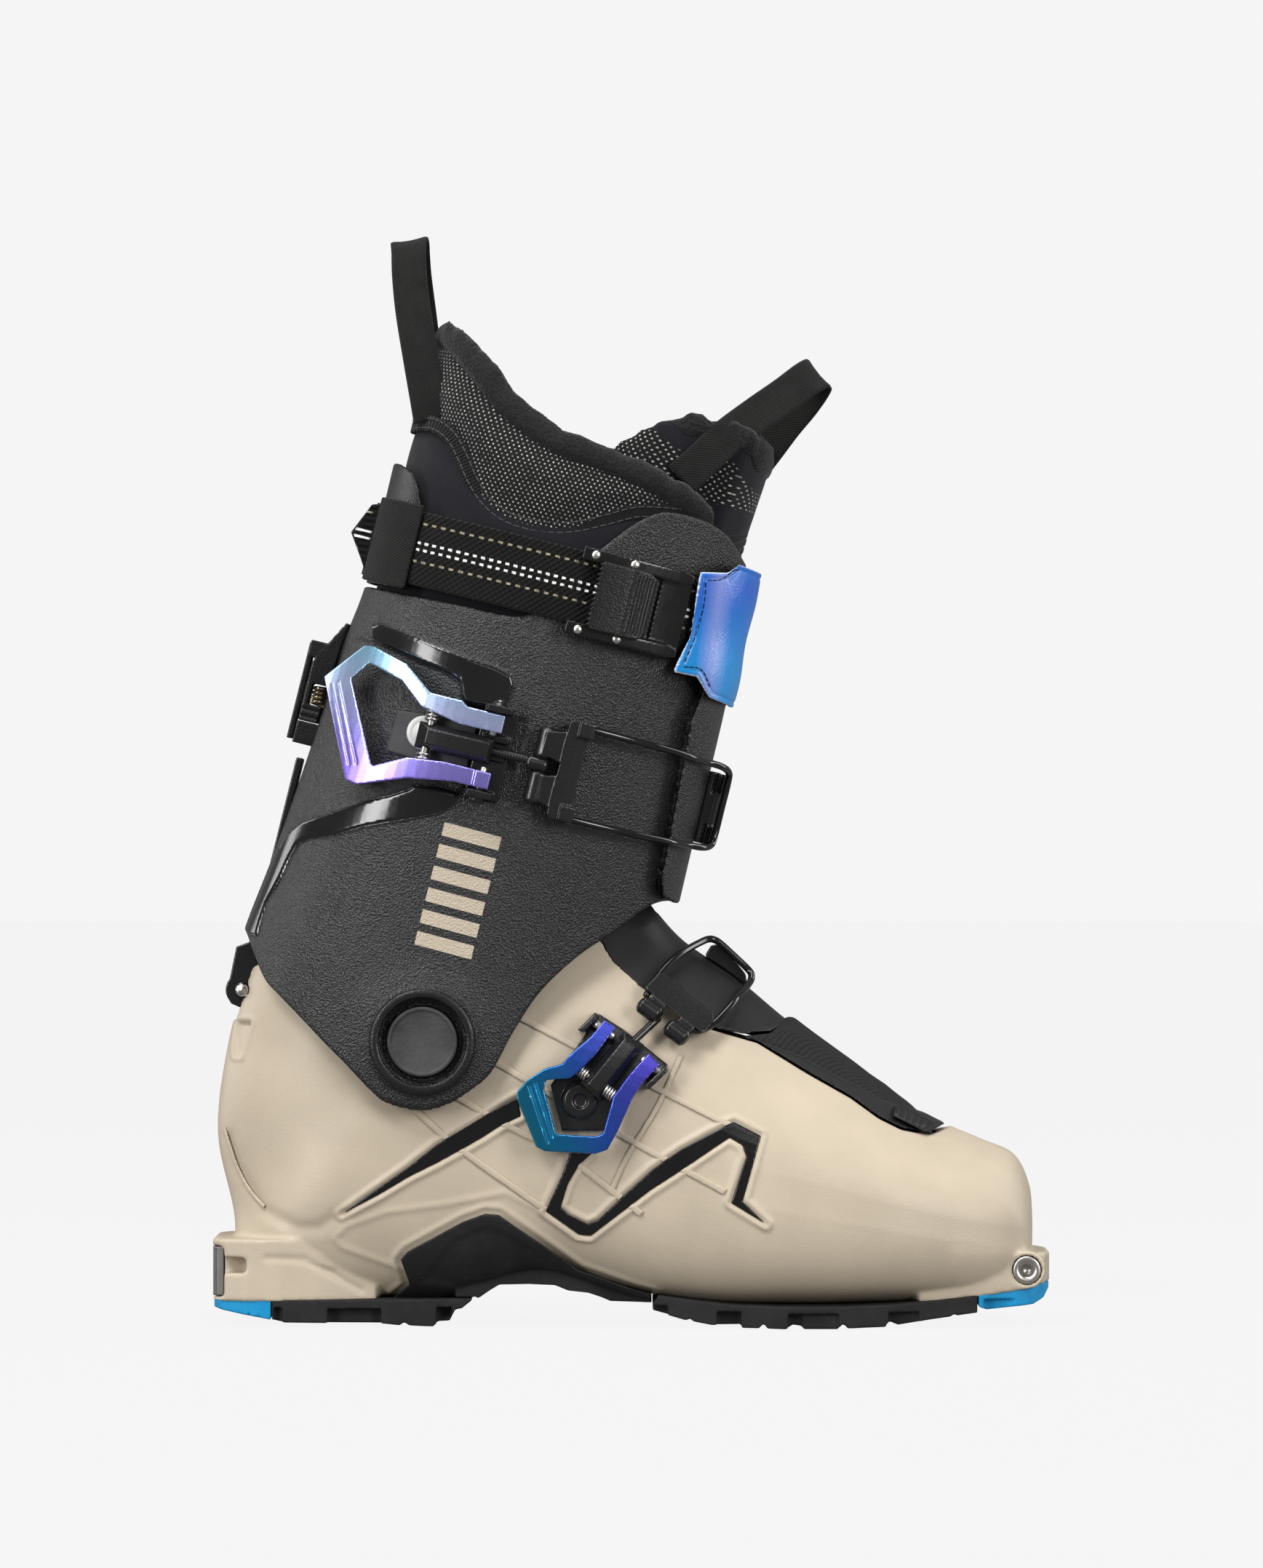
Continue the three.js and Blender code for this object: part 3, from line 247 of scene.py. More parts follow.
def prism(outline, y0=-THROUGH, y1=THROUGH, matrix=None):
    """A side-view outline of [x, z] points, from y0 to y1."""
    n = len(outline)
    vertices = [(x, y, z) for y in (y0, y1) for x, z in outline]
    faces = [tuple(range(n)), tuple(range(2 * n - 1, n - 1, -1))]
    faces += [(i, n + i, n + (i + 1) % n, (i + 1) % n) for i in range(n)]
    piece = face_outwards(new_mesh("prism", vertices, faces))
    if matrix:
        piece.data.transform(matrix)
    return piece


def plan_prism(outline, z0, z1):
    """An outline of [x, y] points seen from above, from z0 to z1."""
    piece = prism(outline, z0, z1)
    swap = Matrix(((1, 0, 0, 0), (0, 0, 1, 0), (0, 1, 0, 0), (0, 0, 0, 1)))
    piece.data.transform(swap)
    piece.data.flip_normals()
    return piece


def block(x0, x1, y0, y1, z0, z1, matrix=None):
    return prism([(x0, z0), (x1, z0), (x1, z1), (x0, z1)], y0, y1, matrix)


def turned_y(x, z, profile, sides=96, matrix=None):
    """A solid turned about the Y axis through (x, z), from [radius, y] points that begin and end on it."""
    rings = []
    turn = circle(sides)
    for r, y in profile[1:-1]:
        rings.append(np.column_stack([x + r * np.cos(turn), np.full(sides, float(y)), z + r * np.sin(turn)]))
    piece = loft("turned", rings)
    if matrix:
        piece.data.transform(matrix)
    return piece


def rod_y(x, z, r, y0=-THROUGH, y1=THROUGH, matrix=None, sides=64):
    """A round rod across the boot."""
    return turned_y(x, z, [(0, y0), (r, y0), (r, y1), (0, y1)], sides, matrix)


def drop(piece):
    mesh = piece.data
    bpy.data.objects.remove(piece)
    bpy.data.meshes.remove(mesh)


def settle(piece):
    """Applies the piece's modifiers to its mesh."""
    graph = bpy.context.evaluated_depsgraph_get()
    mesh = bpy.data.meshes.new_from_object(piece.evaluated_get(graph))
    piece.modifiers.clear()
    old = piece.data
    piece.data = mesh
    bpy.data.meshes.remove(old)


def combine(piece, operation, *others):
    """Booleans the others into the piece, one after another, and uses them up."""
    for other in others:
        step = piece.modifiers.new("combine", "BOOLEAN")
        step.operation = operation
        step.solver = "MANIFOLD"
        step.object = other
        settle(piece)
        drop(other)
    return piece


def cut(piece, *others):
    return combine(piece, "DIFFERENCE", *others)


def keep(piece, *others):
    return combine(piece, "INTERSECT", *others)


def join(piece, *others):
    return combine(piece, "UNION", *others)


def copy(piece):
    twin = bpy.data.objects.new(piece.name, piece.data.copy())
    bpy.context.scene.collection.objects.link(twin)
    return twin


def soften(piece, voxel, rounds=2):
    """Remeshes the piece evenly and rounds its edges by about one voxel, in the units of its mesh."""
    step = piece.modifiers.new("remesh", "REMESH")
    step.mode = "VOXEL"
    step.voxel_size = voxel
    step.use_smooth_shade = True
    settle(piece)
    relax = piece.modifiers.new("relax", "SMOOTH")
    relax.factor = 0.5
    relax.iterations = rounds
    settle(piece)
    return piece


def biggest(piece):
    """Keeps the largest connected part of the mesh."""
    mesh = piece.data
    parent = list(range(len(mesh.vertices)))

    def root(i):
        while parent[i] != i:
            parent[i] = parent[parent[i]]
            i = parent[i]
        return i
    for edge in mesh.edges:
        a, b = root(edge.vertices[0]), root(edge.vertices[1])
        if a != b:
            parent[a] = b
    roots = np.array([root(i) for i in range(len(mesh.vertices))])
    names, sizes = np.unique(roots, return_counts=True)
    if len(names) > 1:
        bm = bmesh.new()
        bm.from_mesh(mesh)
        bm.verts.ensure_lookup_table()
        most = names[np.argmax(sizes)]
        bmesh.ops.delete(bm, geom=[bm.verts[i] for i in np.flatnonzero(roots != most)], context="VERTS")
        bm.to_mesh(mesh)
        bm.free()
    return piece


def gather(pieces):
    """Several loose bodies as one mesh."""
    vertices, faces = [], []
    for piece in pieces:
        base = len(vertices)
        vertices += [v.co.copy() for v in piece.data.vertices]
        faces += [tuple(base + i for i in p.vertices) for p in piece.data.polygons]
        drop(piece)
    return new_mesh("group", vertices, faces)


def hull(piece):
    """The convex hull of the piece, in its place."""
    form = bmesh.new()
    form.from_mesh(piece.data)
    result = bmesh.ops.convex_hull(form, input=form.verts)
    spare = [g for g in result["geom_interior"] + result["geom_unused"] if isinstance(g, bmesh.types.BMVert)]
    bmesh.ops.delete(form, geom=spare, context="VERTS")
    outer = {g for g in result["geom"] if isinstance(g, bmesh.types.BMFace)}
    loose = [f for f in form.faces if f not in outer]
    bmesh.ops.delete(form, geom=loose, context="FACES_ONLY")
    form.to_mesh(piece.data)
    form.free()
    return piece


def coordinates(piece, field="co"):
    """An array of the vertices' places, or of another of their fields."""
    vertices = piece.data.vertices
    out = np.empty(len(vertices) * 3)
    vertices.foreach_get(field, out)
    return out.reshape(-1, 3)


def emboss(piece, height):
    """Moves each vertex along its normal by height(points, normals), in millimetres."""
    points, facing = coordinates(piece), coordinates(piece, "normal")
    moved = points + facing * height(points, facing)[:, None]
    piece.data.vertices.foreach_set("co", moved.ravel())
    piece.data.update()
    return piece


def distance_to(points, line):
    """Distance from each [a, b] point to a line through [a, b] corners."""
    line = np.asarray(line, float)
    best = np.full(len(points), 1e9)
    for a, b in zip(line[:-1], line[1:]):
        run = b - a
        t = np.clip(((points - a) @ run) / (run @ run), 0, 1)
        best = np.minimum(best, np.hypot(*(points - a - t[:, None] * run).T))
    return best


def inside(points, outline):
    """Whether each [a, b] point lies inside an outline."""
    x, y = points.T
    result = np.zeros(len(points), bool)
    for (x0, y0), (x1, y1) in zip(outline, outline[1:] + outline[:1]):
        crosses = (y0 > y) != (y1 > y)
        with np.errstate(divide="ignore", invalid="ignore"):
            at = (x1 - x0) * (y - y0) / (y1 - y0) + x0
        result ^= crosses & (x < at)
    return result


def signed(points, outline):
    """Distance to an outline, negative inside."""
    outline = [tuple(p) for p in outline]
    d = distance_to(points, outline + outline[:1])
    return np.where(inside(points, outline), -d, d)


def ramp(value, start, end):
    """Rises smoothly from 0 at start to 1 at end."""
    t = np.clip((value - start) / (end - start), 0, 1)
    return t * t * (3 - 2 * t)


def bell(distance, width):
    """Falls off smoothly from 1 at distance 0."""
    return np.exp(-(distance / width) ** 2)


def side_view(points):
    return points[:, [0, 2]]


def leg_view(points):
    """[u, w] of each point in the leg's own frame."""
    back = np.array(LEG.inverted())
    return (points @ back[:3, :3].T + back[:3, 3])[:, [0, 2]]


def finish_piece(piece, name, body, material, nodes=()):
    """Scales a finished piece into the frame, paints it, and says what it rides on and replaces."""
    piece.name = name
    piece.data.name = name
    piece.data.transform(TO_ROW)
    piece.data.materials.clear()
    piece.data.materials.append(material)
    piece.data.polygons.foreach_set("use_smooth", [True] * len(piece.data.polygons))
    piece.data.update()
    if body:
        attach(piece, body)
    if nodes:
        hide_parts(*nodes)
    return piece


def stand_in(piece, node, material):
    """Finishes a piece that takes the place of one CAD node."""
    return finish_piece(piece, f"{node}_look", BODY[node], material, (node,))


def part(piece, node, material, voxel=0.4, rounds=2, relief=None):
    """Rounds the edges of a roughly cut piece, adds its relief, and finishes it in place of one CAD node."""
    soften(biggest(piece), voxel, rounds)
    if relief:
        emboss(piece, relief)
    return stand_in(piece, node, material)


# ---------- node materials ----------
class Paint:
    """A node material, built up socket by socket. Lengths are in millimetres of the object's own frame."""

    def __init__(self, name, colour, roughness, **shader):
        self.material = bpy.data.materials.new(name)
        self.material.use_nodes = True
        self.tree = self.material.node_tree
        self.tree.nodes.clear()
        out = self.node("OutputMaterial")
        self.shader = self.node("BsdfPrincipled")
        self.link(self.shader.outputs["BSDF"], out.inputs["Surface"])
        self.place = self.node("TexCoord").outputs["Object"]
        self.normal = None
        self.set("Base Color", colour)
        self.set("Roughness", roughness)
        for key, value in shader.items():
            self.set(key.replace("_", " ").title().replace("Ior", "IOR"), value)

    def node(self, kind, **settings):
        made = self.tree.nodes.new("ShaderNode" + kind)
        for key, value in settings.items():
            setattr(made, key, value)
        return made

    def link(self, source, target):
        self.tree.links.new(source, target)

    def feed(self, target, value):
        """Links a socket to the target, or sets the target's own value."""
        if isinstance(value, bpy.types.NodeSocket):
            self.link(value, target)
        elif hasattr(value, "__len__") and target.type == "RGBA":
            target.default_value = (*value, 1)
        else:
            target.default_value = value

    def set(self, name, value):
        self.feed(self.shader.inputs[name], value)

    def maths(self, operation, a, b=0.0, c=0.0):
        made = self.node("Math", operation=operation)
        for target, value in zip(made.inputs, (a, b, c)):
            self.feed(target, value)
        return made.outputs[0]

    def times(self, *factors):
        product = factors[0]
        for factor in factors[1:]:
            product = self.maths("MULTIPLY", product, factor)
        return product

    def vector(self, operation, a, b):
        made = self.node("VectorMath", operation=operation)
        self.feed(made.inputs[0], a)
        self.feed(made.inputs[1], b)
        return made.outputs["Value" if operation == "DOT_PRODUCT" else "Vector"]

    def noise(self, size, detail, stretch=None, roughness=0.5):
        """Noise with blobs about size millimetres across."""
        made = self.node("TexNoise")
        self.link(self.vector("MULTIPLY", self.place, stretch) if stretch else self.place,
                  made.inputs["Vector"])
        made.inputs["Scale"].default_value = 1 / (size * MM)
        made.inputs["Detail"].default_value = detail
        made.inputs["Roughness"].default_value = roughness
        return made.outputs["Fac"]

    def cells(self, size):
        """Rounded cells about size millimetres across."""
        made = self.node("TexVoronoi")
        self.link(self.place, made.inputs["Vector"])
        made.inputs["Scale"].default_value = 1 / (size * MM)
        return made.outputs["Distance"]

    def mask(self, name):
        """A number that mark() stored on the mesh."""
        return self.node("Attribute", attribute_name=name).outputs["Fac"]

    def cloth(self):
        """The distances along and across the cloth that lay_cloth() stored."""
        return self.parts(self.node("Attribute", attribute_name="cloth").outputs["Vector"])[:2]

    def parts(self, vector):
        made = self.node("SeparateXYZ")
        self.link(vector, made.inputs[0])
        return made.outputs

    def range(self, value, low, high, start=0.0, end=1.0):
        made = self.node("MapRange")
        for target, number in zip(made.inputs, (value, low, high, start, end)):
            self.feed(target, number)
        return made.outputs["Result"]

    def patches(self, size, detail, start=0.0, end=1.0, low=0.3, high=0.7):
        """Soft patches, whose value runs from start to end."""
        return self.range(self.noise(size, detail), low, high, start, end)

    def blend(self, factor, a, b):
        made = self.node("Mix", data_type="RGBA")
        self.feed(made.inputs["Factor"], factor)
        self.feed(made.inputs[6], a)
        self.feed(made.inputs[7], b)
        return made.outputs[2]

    def ramp(self, value, *stops):
        made = self.node("ValToRGB")
        self.link(value, made.inputs["Fac"])
        elements = made.color_ramp.elements
        while len(elements) < len(stops):
            elements.new(0.5)
        for element, (at, colour) in zip(elements, stops):
            element.position = at
            element.color = (*colour, 1)
        return made.outputs["Color"]

    def bump(self, height, depth):
        """Adds relief of the given depth in millimetres."""
        made = self.node("Bump")
        made.inputs["Strength"].default_value = 1.0
        made.inputs["Distance"].default_value = depth * MM
        self.feed(made.inputs["Height"], height)
        if self.normal:
            self.link(self.normal, made.inputs["Normal"])
        self.normal = made.outputs["Normal"]
        self.set("Normal", self.normal)

    def worn(self, colour, lighter, amount):
        """Edges and corners rubbed a little lighter."""
        edge = self.range(self.node("NewGeometry").outputs["Pointiness"], 0.52, 0.62)
        patchy = self.times(edge, self.patches(7.2, 3, low=0.35, high=0.65))
        return self.blend(self.times(patchy, amount), colour, lighter)

    def soft_sheen(self, weight, roughness):
        self.set("Sheen Weight", weight)
        self.set("Sheen Roughness", roughness)


def srgb(r, g, b):
    """A linear colour from screen values of 0 to 255."""
    return tuple(((v / 255 + 0.055) / 1.055) ** 2.4 if v > 10 else v / 255 / 12.92 for v in (r, g, b))


def tint(colour, factor, add=0.0):
    return tuple(min(1, c * factor + add) for c in colour)


def moulded(name, colour, roughness, grain, depth, variation, specular):
    """Moulded plastic with a fine spark-eroded grain and slightly uneven colour."""
    p = Paint(name, colour, roughness, specular_ior_level=specular)
    mottled = p.blend(p.patches(26, 4, low=0.35, high=0.65), tint(colour, 1 - variation),
                      tint(colour, 1 + variation))
    p.set("Base Color", p.worn(mottled, tint(colour, 1.6, 0.02), 0.25))
    p.set("Roughness", p.patches(9, 5, roughness - 0.05, roughness + 0.06))
    p.bump(p.cells(grain), depth)
    p.bump(p.noise(grain * 0.9, 3), depth * 0.8)
    return p.material


def metal(name, colour, roughness, brushed=(1, 1, 1), metallic=1.0, depth=0.02):
    """Metal, or metal under black paint where metallic is 0, with fine brushed lines."""
    p = Paint(name, colour, roughness, metallic=metallic)
    lines = p.noise(0.35, 3, brushed)
    p.set("Base Color", p.worn(p.blend(p.patches(6, 4), tint(colour, 0.86), colour), tint(colour, 1.3, 0.04),
                               0.5))
    p.set("Roughness", p.range(lines, 0.3, 0.7, roughness * 0.75, min(1, roughness * 1.35)))
    p.bump(lines, depth)
    return p.material


def rubber(name, colour, roughness=0.72):
    """Dusty rubber, rubbed lighter at its edges."""
    p = Paint(name, colour, roughness, specular_ior_level=0.3)
    dusty = p.blend(p.range(p.noise(14, 6, roughness=0.65), 0.42, 0.75), colour, tint(colour, 1.35, 0.006))
    p.set("Base Color", p.worn(dusty, tint(colour, 1.8, 0.03), 0.4))
    p.bump(p.noise(0.5, 4), 0.06)
    p.bump(p.noise(3, 2), 0.08)
    return p.material


def anodised(name, stops, axis, low, high):
    """Satin anodised aluminium whose colour fades along a direction, from low to high in millimetres."""
    p = Paint(name, (0.2, 0.4, 0.8), 0.3, metallic=0.85)
    along = p.vector("DOT_PRODUCT", p.place, tuple(a / MM for a in axis))
    wander = p.maths("ADD", along, p.patches(9, 2, -2, 2, 0, 1))
    p.set("Base Color", p.worn(p.ramp(p.range(wander, low, high), *stops), (0.75, 0.9, 1.0), 0.35))
    p.set("Roughness", p.patches(0.25, 3, 0.24, 0.36))
    p.bump(p.noise(0.22, 3), 0.018)
    return p.material


def woven(p, size, depth):
    """Plain weave of threads size millimetres wide, in the piece's cloth coordinates."""
    along, across = p.cloth()
    over = p.times(p.maths("SINE", p.times(along, math.pi / size)),
                   p.maths("SINE", p.times(across, math.pi / size)))
    p.bump(over, depth)
    return over


def webbing(name, colour, size, depth, rows=()):
    """Woven strap. Rows are [across, thickness, spacing, colour, phase] lines of dotted thread."""
    p = Paint(name, colour, 0.85, specular_ior_level=0.14)
    p.soft_sheen(0.07, 0.5)
    shade = p.blend(p.range(woven(p, size, depth), -1, 1), tint(colour, 0.45), tint(colour, 1.35))
    shade = p.blend(p.patches(7, 4, 0, 0.35, low=0.35), shade, tint(colour, 2.0))
    along, across = p.cloth()
    for at, thick, spacing, thread, phase in rows:
        near = p.maths("ABSOLUTE", p.maths("SUBTRACT", across, at))
        line = p.range(near, thick * 0.5, thick * 0.32)
        dash = p.maths("SINE", p.maths("MULTIPLY_ADD", along, 2 * math.pi / spacing, phase))
        shown = p.times(line, p.range(dash, -0.15, 0.25))
        shade = p.blend(shown, shade, thread)
        p.bump(shown, 0.18)
    p.set("Base Color", shade)
    p.bump(p.noise(0.3, 3), 0.05)
    return p.material


def knit(name, colour, size, depth=0.1, rib=0.0):
    """Soft knitted cloth, with ribs across it where rib gives their spacing, and painted shade in the grooves
    between the ribs.
    """
    p = Paint(name, colour, 0.85, specular_ior_level=0.15)
    p.soft_sheen(0.08, 0.4)
    shade = p.blend(p.range(woven(p, size, depth), -1, 1), tint(colour, 0.5), tint(colour, 1.3))
    if rib:
        wave = p.maths("SINE", p.times(p.cloth()[0], 2 * math.pi / rib))
        p.bump(wave, 0.25)
        # The grooves between the ribs are painted darker, as painted shade.
        shade = p.blend(p.range(wave, -1, 1, 0.5, 0), shade, tint(colour, 0.4))
    p.set("Base Color", shade)
    p.bump(p.noise(0.35, 4), 0.08)
    p.bump(p.noise(11, 2), 0.25)
    return p.material


# ---------- palette ----------
SAND = srgb(183, 170, 150)
BLACK = (0.0062, 0.0058, 0.0056)
SAND_PLASTIC = moulded("sand_plastic", SAND, 0.44, 0.55, 0.04, 0.045, 0.32)
BLACK_PLASTIC = moulded("black_plastic", BLACK, 0.36, 0.75, 0.085, 0.2, 0.36)
SMOOTH_BLACK = moulded("smooth_black_plastic", (0.0058, 0.0056, 0.0056), 0.2, 1.6, 0.012, 0.1, 0.4)
FINE_BLACK = moulded("fine_black_plastic", (0.0085, 0.0082, 0.0082), 0.42, 0.32, 0.03, 0.1, 0.34)
ROUGH_BLACK = moulded("rough_black_plastic", (0.036, 0.036, 0.037), 0.72, 1.5, 0.12, 0.6, 0.35)
GREY_PLASTIC = moulded("grey_plastic", (0.034, 0.034, 0.035), 0.55, 0.4, 0.03, 0.1, 0.35)
BLACK_RUBBER = rubber("black_rubber", (0.008, 0.0079, 0.008))
BLUE_RUBBER = rubber("blue_rubber", srgb(0, 126, 176), 0.6)
STEEL = metal("steel", (0.52, 0.5, 0.47), 0.3, (1, 1, 5))
DARK_STEEL = metal("dark_steel", (0.2, 0.19, 0.18), 0.34, (1, 1, 5))
BRASS = metal("spring_wire", (0.62, 0.5, 0.33), 0.28)
BLACK_METAL = metal("black_metal", (0.0075, 0.0073, 0.0074), 0.26, (1, 1, 1), 0.0, 0.012)
GLOSS_METAL = metal("gloss_black_metal", (0.006, 0.006, 0.006), 0.14, (1, 1, 1), 0.0, 0.006)
WEB_ROWS = [(8.7, 1.0, 3.4, srgb(150, 140, 118), 0.0), (1.9, 1.1, 2.9, (0.85, 0.85, 0.84), 0.5),
            (-0.5, 1.1, 2.9, (0.85, 0.85, 0.84), 0.5), (-4.7, 1.0, 3.4, srgb(150, 140, 118), 1.5)]
STRAP_WEBBING = webbing("strap_webbing", (0.0052, 0.0048, 0.0045), 1.15, 0.32, WEB_ROWS)
LOOP_WEBBING = webbing("loop_webbing", (0.0075, 0.0072, 0.0068), 0.62, 0.13)
TAPE_WEBBING = knit("binding_tape", (0.013, 0.013, 0.0135), rib=1.15, size=0.4)
FOAM = knit("foam_board", (0.09, 0.09, 0.095), size=1.4, depth=0.2)
THREAD = knit("thread", (0.012, 0.012, 0.014), size=0.3, depth=0.05)
GREY_THREAD = knit("grey_thread", (0.075, 0.073, 0.07), size=0.3, depth=0.05)
ALONG_LEG = (math.sin(LEAN), 0, math.cos(LEAN))
UPPER_BLUE = anodised("upper_lever_blue", [(0, srgb(140, 120, 215)), (0.2, srgb(150, 145, 225)),
                                           (0.42, srgb(185, 195, 235)), (0.72, srgb(135, 200, 225)),
                                           (1, srgb(100, 175, 195))], ALONG_LEG, 168, 232)
LOWER_BLUE = anodised("lower_lever_blue", [(0, srgb(30, 115, 140)), (0.25, srgb(25, 110, 160)),
                                           (0.55, srgb(45, 85, 180)), (1, srgb(80, 72, 190))],
                      (0.93, 0, 0.36), -10, 38)


# ---------- lower shell ----------
def drum(grow):
    """The round bulge under the ankle pivot that the cuff turns on."""
    half = [(71.2, 10), (66, 22), (58, 30), (45, 36.5), (30, 42), (0, 43.5)]
    side = [(r + grow if r else 0, -y - grow) for r, y in reversed(half)]
    return turned_y(*PIVOT, side + [(r, -y) for r, y in reversed(side)], 128)


CUFF_LOW = [(-82, 22.6), (-72.6, 22.6), (-66, 15), (-59.5, 7.1), (-53.4, 3.2), (-43.7, -2.6), (-34, -8.7),
            (-24.2, -14.5), (-14.5, -20.5), (-8, -23.6), (4.2, -23.7), (11.3, -20.7), (18.2, -14.9),
            (25.8, -4.9), (30, 10.3), (36, 26.9), (46.1, 42.5), (55.7, 52.9), (69.7, 67.6), (90, 68)]
CUFF_SWEEP = [(-10, 98), (16, 98), (30, 90), (44, 79), (55, 73), (70, 70), (88, 72.5), (102, 83), (113, 98),
              (123, 109), (134, 120), (141, 130), (150, 140), (220, 200), (-10, 200)]
THROAT_RIM = [(137, 137.5), (142, 129.6), (151.6, 120.8), (164, 111.5), (177, 105), (193, 100.3),
              (210.5, 89.5), (226, 80.7), (236, 73.5), (244, 69.5), (254, 67.4)]
COLLAR_RIM = [(12, 131), (30, 142), (62, 146.6), (100, 146.2), (125, 143)]
OPENING = [*COLLAR_RIM, *THROAT_RIM, (262, 69.5), (268, 90), (250, 220), (0, 220), (0, 131)]
SHELL_BASE = [(-5, 9), (60, 9), (146, 9), (168, 10), (184, 8.2), (224, 7.7), (256, 9.3), (272, 11.1),
              (288, 13.4), (300, 16.5)]
HEEL_LEDGE = [(0, -21), (3, -28), (12, -32.5), (24, -33), (38, -31), (58, -25), (58, 25), (38, 31), (24, 33),
              (12, 32.5), (3, 28), (0, 21)]
TOE_LEDGE = [(250, -36), (276, -34.5), (289, -31), (295, -24), (297, -15), (297, 15), (295, 24),
             (289, 31), (276, 34.5), (250, 36)]
TOE_FITTING = (288.3, 20.2)
LINK = (9.8, 118.6)
ARCH = [(63.5, 9.4), (70, 15), (67, 24), (69.4, 26.8), (89, 37.6), (97, 40.5), (101.7, 40.1), (106.6, 36.6),
        (116.4, 29.8), (130, 20), (149.7, 13.1), (155.6, 11.4), (155.6, 8.3), (99, 8.3), (98, 9.4)]
REAR_INLAY = [(46, 40), (60, 50), (70, 57), (80, 65), (90, 71), (100, 77), (108.5, 81.7), (109.5, 75),
              (103, 72), (96, 67.5), (90, 64), (80, 58.5), (70, 53.5), (60, 47.5)]
FRONT_INLAY = [(127, 62), (124, 54), (118.3, 41.3), (130, 33), (134, 32.6), (146, 42), (155, 49),
               (165, 55.5), (176, 63), (183, 67.7), (187.5, 65), (188.8, 61), (183.5, 44.8), (195.7, 37.4),
               (187.5, 45.4), (194, 68.3), (184.5, 73.2), (176, 69), (166, 63.5), (156, 56.5), (146, 47.5),
               (137, 38.5), (133, 36.8), (126.5, 40), (123.5, 43), (126, 51), (130, 58), (134.5, 62)]
RIBS = [
    [(108, 110.4), (125.9, 101.1), (158.6, 84.3), (186, 70.6)],
    [(99, 95), (144.7, 68.6), (181.5, 48.6)],
    [(87, 81.8), (107, 70.4), (123, 62.7), (152, 40.6)],
    [(72, 77.6), (82, 68.3), (89, 62.7), (118.2, 41.8)],
]
BUCKLE_CREASE = [(166, 96.5), (157.3, 78), (147.5, 62), (141, 48)]
HEEL_LINE = [(3.4, 70), (5.6, 63), (8.6, 55), (13, 47.6), (18.4, 42.2)]
HEEL_FOLD = [(19.6, 24.4), (33, 23.9), (53, 12.9)]
HEEL_CREASE = [(5, 66), (8, 56), (17.9, 40.8), (30.4, 34.9), (38, 35), (46, 40.4)]
LOWER_PANEL = [(118, 41), (104, 48), (84, 44), (62, 41), (48, 36), (43.5, 31.5), (46, 28.5), (62, 22.5),
               (70, 20)]
HEEL_FIN = [(29, 23.5), (38, 20.5), (50, 14), (54.5, 11.5), (47, 16.5), (44, 20.5)]
HEEL_POCKET = [(7, 107.5), (13.2, 107.5), (9.6, 95.6), (7.6, 95.6)]


def ridge(points, line, height, width):
    """The height of a rounded ridge that runs along a line."""
    return height * bell(distance_to(points, line), width)


def shell_relief(points, facing):
    """Rims round the inlays and the arch, and the creases, the fin and the pocket at the heel."""
    flat = side_view(points)
    out = np.zeros(len(points))
    outer_side = ramp(-facing[:, 1], 0.25, 0.5) * (points[:, 1] < 0)
    both = ramp(np.abs(facing[:, 1]), 0.25, 0.5) * (np.sign(facing[:, 1]) == np.sign(points[:, 1]))
    for inlay in (REAR_INLAY, FRONT_INLAY):
        d = signed(flat, inlay)
        out += outer_side * (1.0 * bell(d - 1.5, 0.9) - 0.55 * ramp(-d, -0.3, 0.3))
    out -= both * ridge(flat, HEEL_CREASE, 0.9, 2.6)
    out -= both * ridge(flat, HEEL_FOLD, 0.6, 1.2)
    out += both * ridge(flat, LOWER_PANEL, 0.45, 1.3)
    arch_edge = signed(flat, ARCH)
    out += both * (0.6 * bell(arch_edge - 2.6, 1.0)) * (flat[:, 1] > 10)
    out -= both * 0.7 * ramp(-signed(flat, HEEL_FIN), -0.5, 1.2)
    pocket = signed(flat, HEEL_POCKET)
    out -= both * 1.6 * ramp(-pocket, -0.6, 0.9)
    out += both * 0.5 * bell(pocket - 1.3, 0.7)
    toe = signed(flat, [(262, 13), (262, 27.5), (300, 27.5), (300, 13)])
    out += both * 0.35 * ramp(-toe, -3, 3)
    return out


def shell_solid():
    """The hollow shell, cut clear of the cuff through its whole swing."""
    body = join(foot_skin(0), plan_prism(HEEL_LEDGE, 0, 31), plan_prism(TOE_LEDGE, 0, 26))
    join(body, rod_y(*TOE_FITTING, 6.6, -32.2, 32.2))
    cut(body, cut(keep(prism(CUFF_SWEEP), block(-20, 101, -80, 80, 0, 220)), drum(0)))
    for degrees in range(-15, 6, 4):
        turn = AT_PIVOT @ Matrix.Rotation(math.radians(degrees), 4, "Y") @ AT_PIVOT.inverted()
        swept = cut(leg_skin(0.5, -30, 150, 50, 90), leg_skin(-CUFF_WALL - 0.4, -40, 160, 50, 90))
        keep(swept, prism([*CUFF_LOW, (90, 140), (-82, 140)], -90, 90, LEG))
        swept.data.transform(turn)
        cut(body, keep(swept, block(101, 260, -80, 80, 0, 260)))
    cut(body, foot_skin(-SHELL_WALL), prism(OPENING))
    keep(body, prism([*SHELL_BASE, (300, 300), (-5, 300)]))
    cut(body, rod_y(*TOE_FITTING, 5.35), block(-2, 18, -7.2, 7.2, 108, 150),
        rod_y(*LINK, 2.7, -20, 20), rod_y(*PIVOT, 6.3), block(-2, 4.35, -40, 40, 10.2, 28.4))
    for side in (-1, 1):
        cut(body, block(2, 12.3, side * 31 - 5, side * 31 + 8, 19, 24.6))
    return body


shell = soften(shell_solid(), 0.8, 2)
emboss(biggest(shell), shell_relief)
stand_in(shell, "lower_shell", SAND_PLASTIC)


